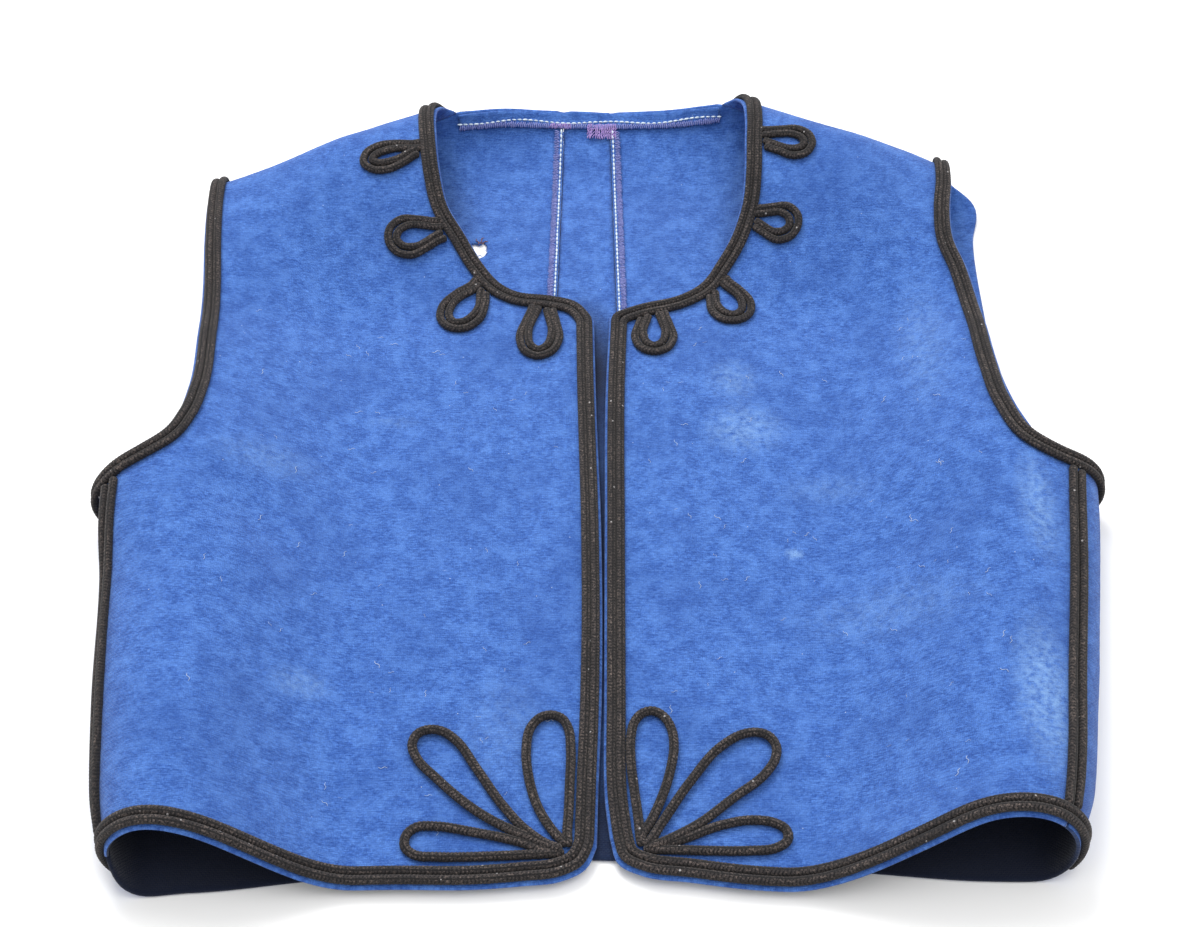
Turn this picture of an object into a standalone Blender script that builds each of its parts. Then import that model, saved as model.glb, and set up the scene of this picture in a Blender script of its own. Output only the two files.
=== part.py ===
"""Embroidered folk vest of blue cloth, trimmed with round plaited cord, lying open on its back.

Frame: X across, towards the wearer's left; Y from hem to neck; Z up from the table; metres.

The cloth is worked out flat and then laid. A point on a front is (across, up): its distance from
the front opening, and its height above the chest line, both measured along the cloth. A point on
the back is the same, from the middle of the back. Two families of folds carry those distances
into space: the side folds, with a section at each Y, and the shoulder folds, with one at each X.
"""

import bpy
import numpy as np
from mathutils.geometry import delaunay_2d_cdt

MM = 0.001
RIGHT, LEFT = -1, 1                  # the wearer's sides, as the sign of X

WALL = 1.6 * MM                      # cloth
FRONT_LEVEL = 4.4 * MM               # middle of the front's cloth where it lies over the back
BACK_LEVEL = WALL / 2                # middle of the back's cloth on the table
BACK_MIDDLE = -7 * MM                # the middle of the back, off the front opening
SEAM_GAP = 0.3 * MM

CORD_RADIUS = 1.75 * MM
CORD_SIDES = 5
CORD_SEAT = 0.45 * MM                # from cloth to cord
CORD_FLAT = 0.28 * MM                # most that a facet of cord leaves its curve
CORD_PITCH = 3.8 * MM                # from one cord's middle to the next one's
CORD_LOWEST = 4.6 * MM               # middle of a cord where it ends, tucked under a fold
ALLOWANCE = 4.5 * MM                 # seam allowance pressed to one side, and its thickness
ALLOWANCE_WALL = 0.9 * MM
NECK_HEM = 9 * MM                    # turned edge inside the back of the neck
INNER_GAP = 0.6 * MM                 # from the back's cloth to what is pressed against its inside

FINE = 1 * MM                        # spacing of worked-out curves
FLAT_ENOUGH = 0.28 * MM              # most that a facet leaves the curve
LONGEST = 26 * MM                    # longest facet
SHOULDER_STEP, SIDE_STEP = 9 * MM, 22 * MM   # facets along the seams

# Side folds, in mm: reach is how far out the fold comes, crest its height, inset how far the crest
# lies inside it, taper where the front starts to rise, nose the height of its outermost point, and
# tuck how far in the back leaves the table.
SIDE_FOLDS = {
    RIGHT: [
        # y, reach, crest, inset, taper, nose, tuck
        (-235, 181, 36, 24, 88, 18, 13),
        (-205, 186.5, 36, 24, 92, 18, 13),
        (-180, 193, 35.5, 25, 95, 17, 14),
        (-140, 199.5, 34, 28, 100, 16, 16),
        (-80, 206, 32, 32, 112, 15, 18),
        (-45, 215, 33, 33, 117, 16, 19),
        (-20, 219, 34, 34, 120, 16, 20),
        (40, 229, 28, 36, 125, 13, 17),
        (100, 231, 15, 36, 125, 8, 12),
        (160, 231, 4.4, 36, 125, 3, 6),
        (270, 231, 4.4, 36, 125, 3, 6),
    ],
    LEFT: [
        (-235, 171.5, 41, 26, 106, 18, 13),
        (-205, 178, 41, 26, 108, 18, 13),
        (-180, 188, 38, 28, 110, 17, 14),
        (-140, 196, 35, 30, 112, 16, 16),
        (-80, 206.5, 32, 32, 116, 15, 18),
        (-45, 212, 33, 33, 118, 16, 19),
        (-20, 214.5, 34, 34, 120, 16, 20),
        (40, 224, 28, 36, 125, 13, 17),
        (100, 226, 15, 36, 125, 8, 12),
        (160, 226, 4.4, 36, 125, 3, 6),
        (270, 226, 4.4, 36, 125, 3, 6),
    ],
}
# Shoulder folds, the same, with the ridge's distance up in place of the reach.
SHOULDER_FOLDS = {
    RIGHT: [
        # x, reach, crest, inset, taper, nose, tuck
        (0, 232, 40, 20, 120, 32, 64),
        (45, 221, 40, 20, 122, 29, 54),
        (66, 215, 39, 20, 125, 28, 46),
        (82, 209.5, 38.5, 20, 125, 25, 40),
        (120, 195, 37, 18, 118, 18, 34),
        (168, 174, 27, 14, 105, 13, 26),
        (192, 167, 22, 14, 100, 11, 22),
        (240, 158, 18, 14, 95, 9, 20),
    ],
    LEFT: [
        (0, 232, 40, 20, 120, 32, 64),
        (45, 221, 40, 20, 122, 29, 54),
        (66, 215, 39, 20, 125, 28, 46),
        (80, 210.5, 38.5, 20, 125, 25, 40),
        (120, 194, 38, 18, 118, 18, 34),
        (150, 184, 32, 17, 110, 16, 30),
        (172, 175, 27, 16, 105, 14, 28),
        (240, 162, 20, 14, 95, 10, 20),
    ],
}

# Edges of the fronts, (across, up) in mm. Each runs on past the seams onto the back.
FRONT_HEM = {
    RIGHT: [(236, -208), (215, -208), (201, -207), (181, -205), (162, -207.5), (142, -210.5),
            (112, -213.5), (77, -213.5), (50, -213.5), (31, -212), (16, -210), (7, -205), (3, -196)],
    LEFT: [(236, -208), (215, -207), (193, -205), (174, -203), (155, -203.5), (127, -209.5),
           (100, -213.5), (74, -214.5), (56, -213.5), (33, -210.5), (14, -207.5), (6, -203), (3, -193)],
}
OPENING = {
    RIGHT: [(2.6, -175), (1.3, -129), (1.0, -79), (1.6, -36), (3.6, 34), (4.6, 85)],
    LEFT: [(1.2, -175), (1.0, -129), (1.2, -79), (1.4, -36), (1.8, 34), (3.6, 87.5)],
}
FRONT_NECK = {
    RIGHT: [(12, 95), (26, 99.5), (41, 102), (47.5, 106), (58, 118), (67.3, 133.5), (75.5, 147), (79.7, 164),
            (82.3, 185), (83.2, 197), (82.5, 209), (79.5, 219), (74.5, 226), (67, 231), (58, 234.5), (48, 237)],
    LEFT: [(17, 93.5), (37, 100), (48.5, 109), (54.5, 118), (62, 131), (65.8, 141), (68.2, 150), (69.8, 165),
           (70.4, 182), (71, 198), (70.5, 209), (68, 219), (63.5, 227), (57, 232.5), (48, 236.5), (38, 239)],
}
FRONT_ARMHOLE = {
    RIGHT: [(194, 200), (193.5, 186), (193, 165), (192.5, 147), (191, 123), (189, 91), (188, 56),
            (188, 19), (191, 0), (195, -10), (204, -18), (216, -24), (226, -29), (240, -32), (252, -31)],
    LEFT: [(176.5, 202), (174, 194), (171, 178), (170, 158), (168, 143), (168, 124), (173, 106),
           (178, 74), (181, 36), (185, 7), (192, -11), (202, -18), (218, -21), (234, -25), (248, -27)],
}
# The side seam, as the distance across at two heights.
SIDE_SEAM = {
    RIGHT: [(217, 0), (216, -34), (213, -92), (206.5, -170), (203, -225)],
    LEFT: [(213, 0), (199, -90), (179, -225)],
}
PAST_SHOULDER = 2 * MM               # the shoulder seam lies this far behind the ridge

# Edges of the back, between the points where the fronts' edges cross the seams.
BACK_ARMHOLE = {
    RIGHT: [(225, -30), (213, -30), (203, -20), (192, 0), (185, 25), (181, 60), (178, 100), (178, 140)],
    LEFT: [(235, -24), (224, -22), (214, -6), (203, 18), (196, 37), (191, 62), (189, 101), (190, 143), (193, 164)],
}
BACK_HEM = {
    RIGHT: [(0, -199), (55, -202), (105, -208), (150, -213), (178, -213)],
    LEFT: [(0, -199), (55, -201), (105, -204.5), (150, -208), (175, -208)],
}
BACK_NECK = [(0, 225.5), (25, 225), (42, 225)]
# The two seams down the back, as the distance to the right or left of its middle.
BACK_SEAM = {RIGHT: [(20, -197), (13, 221)], LEFT: [(20, -197), (11, 221)]}

# A moth hole beside the neck, in the right half of the back: outline round its middle.
MOTH_HOLE_AT = (54.5, 136)
MOTH_HOLE = [(4.4, 1.2), (3.6, 4.6), (1.6, 5.4), (-0.6, 4.4), (-2.6, 6.6), (-4.6, 3.4), (-5.0, -1.0), (-3.4, -4.6),
             (-0.6, -6.4), (2.6, -5.0)]

# Loops of two nested cords round the neck, in mm on the front's cloth.
NECK_LOOPS = {
    # base across, base up, tip across, tip up, width, width at the base
    RIGHT: [(87, 177.5, 118, 166.5, 17.5, 9), (76, 135, 105, 126, 22.5, 15),
            (57, 109, 73, 77.5, 23.5, 11), (28.5, 97, 30.5, 58.5, 22, 16)],
    LEFT: [(76, 183.5, 104.5, 178.5, 20, 14), (71.5, 142, 96, 134, 21.5, 16),
           (54.5, 111.5, 65, 82, 23, 12), (24.5, 93.5, 24, 60.5, 21.5, 16)],
}
# Petals of one cord, fanning out of the lower corner of each front: their routes on its cloth, in mm.
PETALS = {
    RIGHT: [
        [(14, -197), (19, -191), (25.4, -180), (29.4, -166), (30.6, -154), (28.8, -143), (25, -138.6), (20.5, -137.6),
         (16.4, -139.4), (14, -144), (13, -153), (13.2, -170), (13.6, -184), (14, -192)],
        [(18, -198), (30, -192.8), (45.2, -184.6), (66.1, -166.6), (73.4, -158.7), (76, -152), (74.2, -147),
         (69.6, -144.9), (64, -145.8), (58.9, -149.6), (50, -162.6), (39, -179.4), (30, -190), (22, -196)],
        [(22, -198.5), (32, -195), (50.4, -190.6), (66, -187.9), (72, -188.2), (75.8, -191.6), (76, -197), (72, -200.4),
         (64, -201.2), (48, -201.2), (34, -200.6)],
    ],
    LEFT: [
        [(14.4, -195), (13.4, -184), (12, -172), (10.8, -158), (11, -148), (12.4, -141), (15.6, -136.8),
         (19.6, -135.6), (23.8, -137.8), (27.2, -144), (28, -152), (26.6, -162), (22.6, -176), (17.6, -187.5), (14.5, -193)],
        [(17, -196), (22, -188), (33.9, -168.9), (47.3, -152), (54.4, -147.3), (60.5, -145.9), (65.4, -147.3),
         (68.5, -151.8), (68, -158), (64, -164.6), (51.2, -175.6), (35.2, -188.6), (27, -193.2), (20, -196.5)],
        [(20, -197), (31, -193.6), (44.9, -188), (58, -185.6), (66.1, -186.8), (70.6, -190), (70.6, -194.4),
         (66, -197.6), (56, -198.8), (42, -198.8), (30, -198.4)],
    ],
}
# Half the outline of a loop: how far along it, and how much of its width it takes up there.
LOOP_FORM = [(0.40, 0.39), (0.70, 0.50), (0.92, 0.33)]

CORD_MARGIN = {"opening": 0.6 * MM, "hem": 0.9 * MM}   # cloth that shows past the outer cord
LOOP_NUDGE = 4.5 * MM                  # most that a cord is moved aside for one laid before it
STRAIGHT = 0.8                         # cosine of the most that this turns it

CLOTH_COLOUR, CORD_COLOUR, SERGE_COLOUR = (0.08, 0.19, 0.60, 1), (0.045, 0.043, 0.045, 1), (0.17, 0.20, 0.45, 1)
NO_GRID = np.zeros((0, 2))

def through(rows, step=FINE):
    """A smooth curve through the rows of a table in mm, as evenly spaced points in metres."""
    rows = np.array(rows, float) * MM
    knots = np.concatenate([[0], np.cumsum(np.hypot(*np.diff(rows, axis=0).T))])
    slope = np.gradient(rows, knots, axis=0)
    at = np.linspace(0, knots[-1], max(int(knots[-1] / step), 2) + 1)
    i = np.clip(np.searchsorted(knots, at) - 1, 0, len(knots) - 2)
    h = (knots[i + 1] - knots[i])[:, None]
    t = (at - knots[i])[:, None] / h
    return (
        (2 * t**3 - 3 * t**2 + 1) * rows[i]
        + (t**3 - 2 * t**2 + t) * h * slope[i]
        + (3 * t**2 - 2 * t**3) * rows[i + 1]
        + (t**3 - t**2) * h * slope[i + 1]
    )


def between(table, at, column=1):
    """A column of a table in mm, smoothly between its rows and never past them, at values of the first."""
    rows = np.array(table, float) * MM
    rows = rows[np.argsort(rows[:, 0])]
    x, y = rows[:, 0], rows[:, column]
    steep = np.diff(y) / np.diff(x)
    before, after = steep[:-1], steep[1:]
    level = before * after <= 0
    inner = np.where(level, 0, 2 * before * after / np.where(level, 1, before + after))
    slope = np.concatenate([steep[:1], inner, steep[-1:]])
    at = np.clip(at, x[0], x[-1])
    i = np.clip(np.searchsorted(x, at) - 1, 0, len(x) - 2)
    h = x[i + 1] - x[i]
    t = (at - x[i]) / h
    return (
        (2 * t**3 - 3 * t**2 + 1) * y[i]
        + (t**3 - 2 * t**2 + t) * h * slope[i]
        + (3 * t**2 - 2 * t**3) * y[i + 1]
        + (t**3 - t**2) * h * slope[i + 1]
    )


def section(reach, crest, inset, taper, nose, tuck, start):
    """The cloth's line from the front's middle out over a fold and back to the back's middle."""
    rise, turn = np.linspace(0, 1, 60), np.linspace(0, np.pi / 2, 40)[1:]
    out = [
        np.linspace(0, reach - taper, 30)[:-1],
        reach - taper + rise * (taper - inset),
        reach - inset + inset * np.sin(turn),
        reach - tuck + tuck * np.cos(turn),
        np.linspace(reach - tuck, start, 40)[1:],
    ]
    up = [
        np.full(29, FRONT_LEVEL),
        FRONT_LEVEL + (crest - FRONT_LEVEL) * rise**2 * (3 - 2 * rise),
        nose + (crest - nose) * np.cos(turn),
        nose - (nose - BACK_LEVEL) * np.sin(turn),
        np.full(39, BACK_LEVEL),
    ]
    out, up = np.concatenate(out), np.concatenate(up)
    along = np.concatenate([[0], np.cumsum(np.hypot(np.diff(out), np.diff(up)))])
    return along, out, up, along[29 + 59 + 39]


class Folds:
    """A family of folds: where a distance along the cloth comes to, at each station."""

    STEP = 3 * MM

    def __init__(self, table, first, last, start):
        self.first = first
        self.stations = np.arange(first, last + self.STEP, self.STEP)
        columns = [between(table, self.stations, k) for k in range(1, 7)]
        at = np.arange(190) * self.STEP
        self.front, self.back, self.measures = [], [], []
        for values in zip(*columns):
            along, out, up, ridge = section(*values, start)
            lines = np.stack([out, up], axis=1)
            self.front.append([[np.interp(a, along, line) for line in lines.T] for a in at])
            self.back.append([[np.interp(along[-1] - a, along, line) for line in lines.T] for a in at])
            self.measures.append([ridge, along[-1]])
        self.front, self.back, self.measures = map(np.array, (self.front, self.back, self.measures))

    def at(self, grid, station, along):
        """The grid's value, smooth in both directions."""
        place = [(station - self.first) / self.STEP, along / self.STEP]
        place = [np.clip(p, 0, n - 1.001) for p, n in zip(place, grid.shape)]
        cell = [np.floor(p).astype(int) for p in place]
        weights = [cubic_weights(p - c) for p, c in zip(place, cell)]
        total = 0
        for a in range(4):
            i = np.clip(cell[0] + a - 1, 0, grid.shape[0] - 1)
            for b in range(4):
                j = np.clip(cell[1] + b - 1, 0, grid.shape[1] - 1)
                total = total + (weights[0][:, a] * weights[1][:, b])[:, None] * grid[i, j]
        return total

    def ridge(self, station):
        """Distance along the cloth to the fold's outermost point, from the front's middle."""
        return np.interp(station, self.stations, self.measures[:, 0])

    def length(self, station):
        """Distance along the cloth from the front's middle to the back's."""
        return np.interp(station, self.stations, self.measures[:, 1])


def cubic_weights(t):
    return np.stack(
        [
            -0.5 * t + t**2 - 0.5 * t**3,
            1 - 2.5 * t**2 + 1.5 * t**3,
            0.5 * t + 2 * t**2 - 1.5 * t**3,
            -0.5 * t**2 + 0.5 * t**3,
        ],
        axis=1,
    )


SIDE = {side: Folds(table, -0.240, 0.270, side * BACK_MIDDLE) for side, table in SIDE_FOLDS.items()}
SHOULDER = {side: Folds(table, 0.0, 0.240, 0.0) for side, table in SHOULDER_FOLDS.items()}


def front_cloth(across, up):
    """Middle of the front's cloth. Past a fold it runs on round it, to the back."""
    found = np.zeros((len(across), 3))
    for side in (RIGHT, LEFT):
        here = np.sign(across + 1e-12) == side
        a, b = abs(across[here]), up[here]
        over = SHOULDER[side].at(SHOULDER[side].front, a, np.maximum(b, 0))
        y = np.where(b < 0, b, over[:, 0])
        round_side = SIDE[side].at(SIDE[side].front, y, a)
        found[here] = np.stack([side * round_side[:, 0], y, round_side[:, 1] + over[:, 1] - FRONT_LEVEL], axis=1)
    return found


def back_cloth(across, up):
    """Middle of the back's cloth."""
    found = np.zeros((len(across), 3))
    for side in (RIGHT, LEFT):
        here = np.sign(across + 1e-12) == side
        a, b = abs(across[here]), up[here]
        over = SHOULDER[side].at(SHOULDER[side].back, abs(BACK_MIDDLE + side * a), np.maximum(b, 0))
        y = np.where(b < 0, b, over[:, 0])
        round_side = SIDE[side].at(SIDE[side].back, y, a)
        found[here] = np.stack([side * round_side[:, 0], y, round_side[:, 1] + over[:, 1] - BACK_LEVEL], axis=1)
    return found


def outward(cloth, points):
    """Unit normals on the outer face, at (across, up) points."""
    e = 0.5 * MM
    a, b = points.T
    right = cloth(a + e, b) - cloth(a - e, b)
    top = cloth(a, b + e) - cloth(a, b - e)
    normal = np.cross(right, top) * (1 if cloth is front_cloth else -1)
    return normal / np.linalg.norm(normal, axis=1)[:, None]


def laid(cloth, points, lift=0.0):
    """Points of flat cloth in space, moved outward by lift."""
    return cloth(*points.T) + lift * outward(cloth, points)


def thin(points, tolerance=FLAT_ENOUGH, longest=LONGEST):
    """Indices of the points of a line that keep it within the tolerance."""
    keep, spans = {0, len(points) - 1}, [(0, len(points) - 1)]
    while spans:
        i, j = spans.pop()
        if j - i < 2:
            continue
        chord = points[j] - points[i]
        length = np.linalg.norm(chord)
        middle = points[i + 1 : j] - points[i]
        if length > 0:
            middle = middle - np.outer(middle @ chord / length**2, chord)
        far = np.linalg.norm(middle, axis=1)
        k = i + 1 + int(far.argmax())
        if far.max() <= tolerance:
            if length <= longest:
                continue
            k = (i + j) // 2
        keep.add(k)
        spans += [(i, k), (k, j)]
    return sorted(keep)


def thinned(cloth, points, **limits):
    return points[thin(laid(cloth, points), **limits)]


def inside(points, outline):
    """Whether each point lies inside a closed outline."""
    x, y = points.T
    found = np.zeros(len(points), bool)
    for (x0, y0), (x1, y1) in zip(outline, np.roll(outline, -1, axis=0)):
        if y0 != y1:
            found ^= ((y0 > y) != (y1 > y)) & (x < (x1 - x0) * (y - y0) / (y1 - y0) + x0)
    return found


def away(points, line):
    """Distance of each point from the nearest point of a line."""
    return np.sqrt(((points[:, None] - line[None]) ** 2).sum(axis=2)).min(axis=1)


def add_object(name, points, faces, colour, finish):
    middle = points.mean(axis=0)
    mesh = bpy.data.meshes.new(name)
    mesh.from_pydata([tuple(p) for p in points - middle], [], faces)
    mesh.shade_smooth()
    mesh.set_sharp_from_angle(angle=np.radians(50))
    material = bpy.data.materials.get(finish) or bpy.data.materials.new(finish)
    material.use_nodes = True
    shader = material.node_tree.nodes["Principled BSDF"]
    shader.inputs["Base Color"].default_value = colour
    shader.inputs["Roughness"].default_value = 0.95
    shader.inputs["Metallic"].default_value = 0.0
    mesh.materials.append(material)
    obj = bpy.data.objects.new(name, mesh)
    obj.location = middle
    obj.parent = bpy.data.objects["vest"]
    bpy.context.collection.objects.link(obj)
    return obj


def crossings(columns, rows):
    return np.stack(np.meshgrid(columns, rows), axis=-1).reshape(-1, 2)


def add_panel(name, cloth, outline, grid, colour, material, wall=WALL, lift=0.0, hole=None):
    """A panel cut to a flat outline, laid, and given its thickness. The grid's points let it bend."""
    edge = [outline] if hole is None else [outline, hole]
    grid = grid[inside(grid, outline) & (away(grid, np.concatenate(edge)) > 3.5 * MM)]
    if hole is not None:
        grid = grid[~inside(grid, hole)]
    flat, loops = np.concatenate(edge + [grid]), []
    for first, ring in zip(np.cumsum([0] + [len(ring) for ring in edge]), edge):
        loops += [(first + i, first + (i + 1) % len(ring)) for i in range(len(ring))]
    cut = delaunay_2d_cdt([tuple(p / MM) for p in flat], loops, [], 0, 1e-5)
    flat, faces = np.array([tuple(p) for p in cut[0]]) * MM, np.array([list(f) for f in cut[2]])
    middle = flat[faces].mean(axis=1)
    wanted = inside(middle, outline)
    if hole is not None:
        wanted &= ~inside(middle, hole)
    faces = faces[wanted]
    a, b, c = (flat[faces[:, k]] for k in range(3))
    turned = (b - a)[:, 0] * (c - a)[:, 1] - (b - a)[:, 1] * (c - a)[:, 0] < 0
    faces[turned] = faces[turned][:, ::-1]
    if cloth is back_cloth:
        faces = faces[:, ::-1]
    ends = np.concatenate([faces[:, [0, 1]], faces[:, [1, 2]], faces[:, [2, 0]]])
    there = {tuple(e) for e in ends.tolist()}
    rim = [e for e in there if e[::-1] not in there]
    n = len(flat)
    used = np.unique(faces)
    points = np.concatenate([laid(cloth, flat, lift + wall / 2), laid(cloth, flat, lift - wall / 2)])
    solid = faces.tolist() + (faces[:, ::-1] + n).tolist()
    solid += [(j, i, i + n, j + n) for i, j in rim]
    order = np.full(2 * n, -1)
    order[np.concatenate([used, used + n])] = np.arange(2 * len(used))
    add_object(name, points[np.concatenate([used, used + n])], [tuple(order[list(f)].tolist()) for f in solid], colour, material)


def add_cord(name, cloth, path):
    """A round cord sewn along a path on the outer face, cut off where it is tucked under."""
    beneath = CORD_RADIUS * np.cos(np.pi / CORD_SIDES)
    middle = laid(cloth, path, WALL / 2 + CORD_SEAT + beneath)
    clear = middle[:, 2] > CORD_LOWEST
    first = int(np.argmax(clear))
    last = len(clear) - int(np.argmax(clear[::-1]))
    path, middle = path[first:last], middle[first:last]
    kept = thin(middle, CORD_FLAT, 22 * MM)
    path, middle = path[kept], middle[kept]
    tangent = np.gradient(middle, axis=0)
    tangent /= np.linalg.norm(tangent, axis=1)[:, None]
    up = outward(cloth, path)
    side = np.cross(tangent, up)
    side /= np.linalg.norm(side, axis=1)[:, None]
    up = np.cross(side, tangent)
    angles = np.pi / 2 + 2 * np.pi * np.arange(CORD_SIDES) / CORD_SIDES
    ring = np.cos(angles)[None, :, None] * side[:, None] + np.sin(angles)[None, :, None] * up[:, None]
    points = (middle[:, None] + CORD_RADIUS * ring).reshape(-1, 3)
    n, faces = CORD_SIDES, []
    for i in range(len(middle) - 1):
        for k in range(n):
            a, b = i * n + k, i * n + (k + 1) % n
            faces.append((a, b, b + n, a + n))
    faces = [f[::-1] for f in faces]
    faces += [tuple(range(n)), tuple((len(middle) - 1) * n + k for k in reversed(range(n)))]
    add_object(name, points, faces, CORD_COLOUR, "plaited cord")
    return path


def smoothed(path, passes=3):
    path = path.copy()
    for _ in range(passes):
        path[1:-1] = (path[:-2] + 2 * path[1:-1] + path[2:]) / 4
    return path


def evenly(path, step=FINE):
    along = np.concatenate([[0], np.cumsum(np.hypot(*np.diff(path, axis=0).T))])
    at = np.linspace(0, along[-1], max(int(along[-1] / step), 2) + 1)
    return np.stack([np.interp(at, along, column) for column in path.T], axis=1)


def inset(edge, distance, turn):
    """A line beside an edge. distance may change along it; turn is 1 for the edge's left, -1 for its right."""
    tangent = np.gradient(edge, axis=0)
    tangent /= np.linalg.norm(tangent, axis=1)[:, None]
    moved = edge + turn * np.reshape(distance, (-1, 1)) * np.stack([-tangent[:, 1], tangent[:, 0]], axis=1)
    moved = moved[away(moved, edge) > distance - 0.1 * MM]
    return smoothed(evenly(moved), 6)


def nestled(path, neighbours):
    """The path, moved aside where it would touch cords laid before it, and cut short where it can't be."""
    moved, start = path.copy(), path
    for _ in range(12):
        for cord in neighbours:
            gap = moved[:, None] - cord[None]
            far = np.linalg.norm(gap, axis=2)
            nearest = far.argmin(axis=1)
            rows = np.arange(len(moved))
            short = np.maximum(CORD_PITCH + 0.1 * MM - far[rows, nearest], 0)
            moved = moved + short[:, None] * gap[rows, nearest] / np.maximum(far[rows, nearest], 1e-6)[:, None]
    free = np.linalg.norm(moved - start, axis=1) < LOOP_NUDGE
    run, was = np.gradient(moved, axis=0), np.gradient(start, axis=0)
    free &= np.sum(run * was, axis=1) > STRAIGHT * np.linalg.norm(run, axis=1) * np.linalg.norm(was, axis=1)
    for cord in neighbours:
        free &= away(moved, cord) > CORD_PITCH - 0.05 * MM
    middle = len(moved) // 2
    first, last = middle, middle
    while first > 0 and free[first - 1]:
        first -= 1
    while last < len(moved) - 1 and free[last + 1]:
        last += 1
    return apart_from_itself(evenly(smoothed(moved[first : last + 1], 2)))


def apart_from_itself(line):
    """The line of a loop, its two ends cut back equally until they are clear of each other."""
    reach = len(line) * 2 // 5
    head, tail = line[:reach], line[::-1][:reach]
    near = np.linalg.norm(head[:, None] - tail[None], axis=2) < CORD_PITCH
    if not near.any():
        return line
    cut = 1 + np.minimum(*np.nonzero(near)).max()
    return line[cut:-cut]


def loop(row, form, inwards=0.0):
    """A cord's line out round a loop and back."""
    base, tip, width, foot = np.array(row[0:2]), np.array(row[2:4]), row[4], row[5]
    axis = tip - base
    length = np.hypot(*axis)
    axis = axis / length
    across = np.array([-axis[1], axis[0]])
    inwards = inwards / MM + CORD_RADIUS / MM
    half = [(0, foot / 2 - inwards)] + [((length - inwards) * a, (width - 2 * inwards) * w) for a, w in form]
    half[0] = (0, max(half[0][1], 0.5 * CORD_PITCH / MM + 0.1))
    line = half + [(length - inwards, 0)] + [(a, -w) for a, w in reversed(half)]
    return through([base + a * axis + w * across for a, w in line])


def seam_across(side, up):
    """Distance across to the side seam, at a height."""
    return between([(v, u) for u, v in SIDE_SEAM[side]], up)


def stations(first, last, step):
    """Values on a fixed step between two ends, so that both sides of a seam bend at the same places."""
    inner = np.arange(-30, 40) * step
    low, high = sorted((first, last))
    inner = inner[(inner > low + step / 3) & (inner < high - step / 3)]
    return np.concatenate([[low], inner, [high]])[:: 1 if first < last else -1]


def seam_up(side, across):
    """Distance up to the shoulder seam, at a distance across."""
    return SHOULDER[side].ridge(across) + PAST_SHOULDER


def on_front(side, line):
    """The part of an edge that lies on the front, ending at the seams."""
    a, b = line.T
    return line[(a < seam_across(side, b) - SEAM_GAP / 2) & (b < seam_up(side, a) - SEAM_GAP / 2)]


def mirrored(side, line):
    return line * np.array([side, 1])


def grid_lines(cloth, side):
    """Distances across and up at which the folds need a row of points."""
    limits = {"tolerance": 0.35 * MM, "longest": 45 * MM}
    across, up = np.arange(0, 0.26, FINE), np.arange(-0.23, 0.26, FINE)
    columns, rows = set(), set()
    for at_up, at_across in ((-0.20, 0.08), (-0.02, 0.16)):
        columns |= set(thin(laid(cloth, np.stack([side * across, across * 0 + at_up], axis=1)), **limits))
        rows |= set(thin(laid(cloth, np.stack([side * at_across + up * 0, up], axis=1)), **limits))
    return side * apart(across[sorted(columns)]), apart(up[sorted(rows)])


def apart(values, least=6.5 * MM):
    """The values without those that nearly repeat one before."""
    kept = [values[0]]
    for value in values[1:]:
        if value - kept[-1] >= least:
            kept.append(value)
    return np.array(kept)


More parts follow.
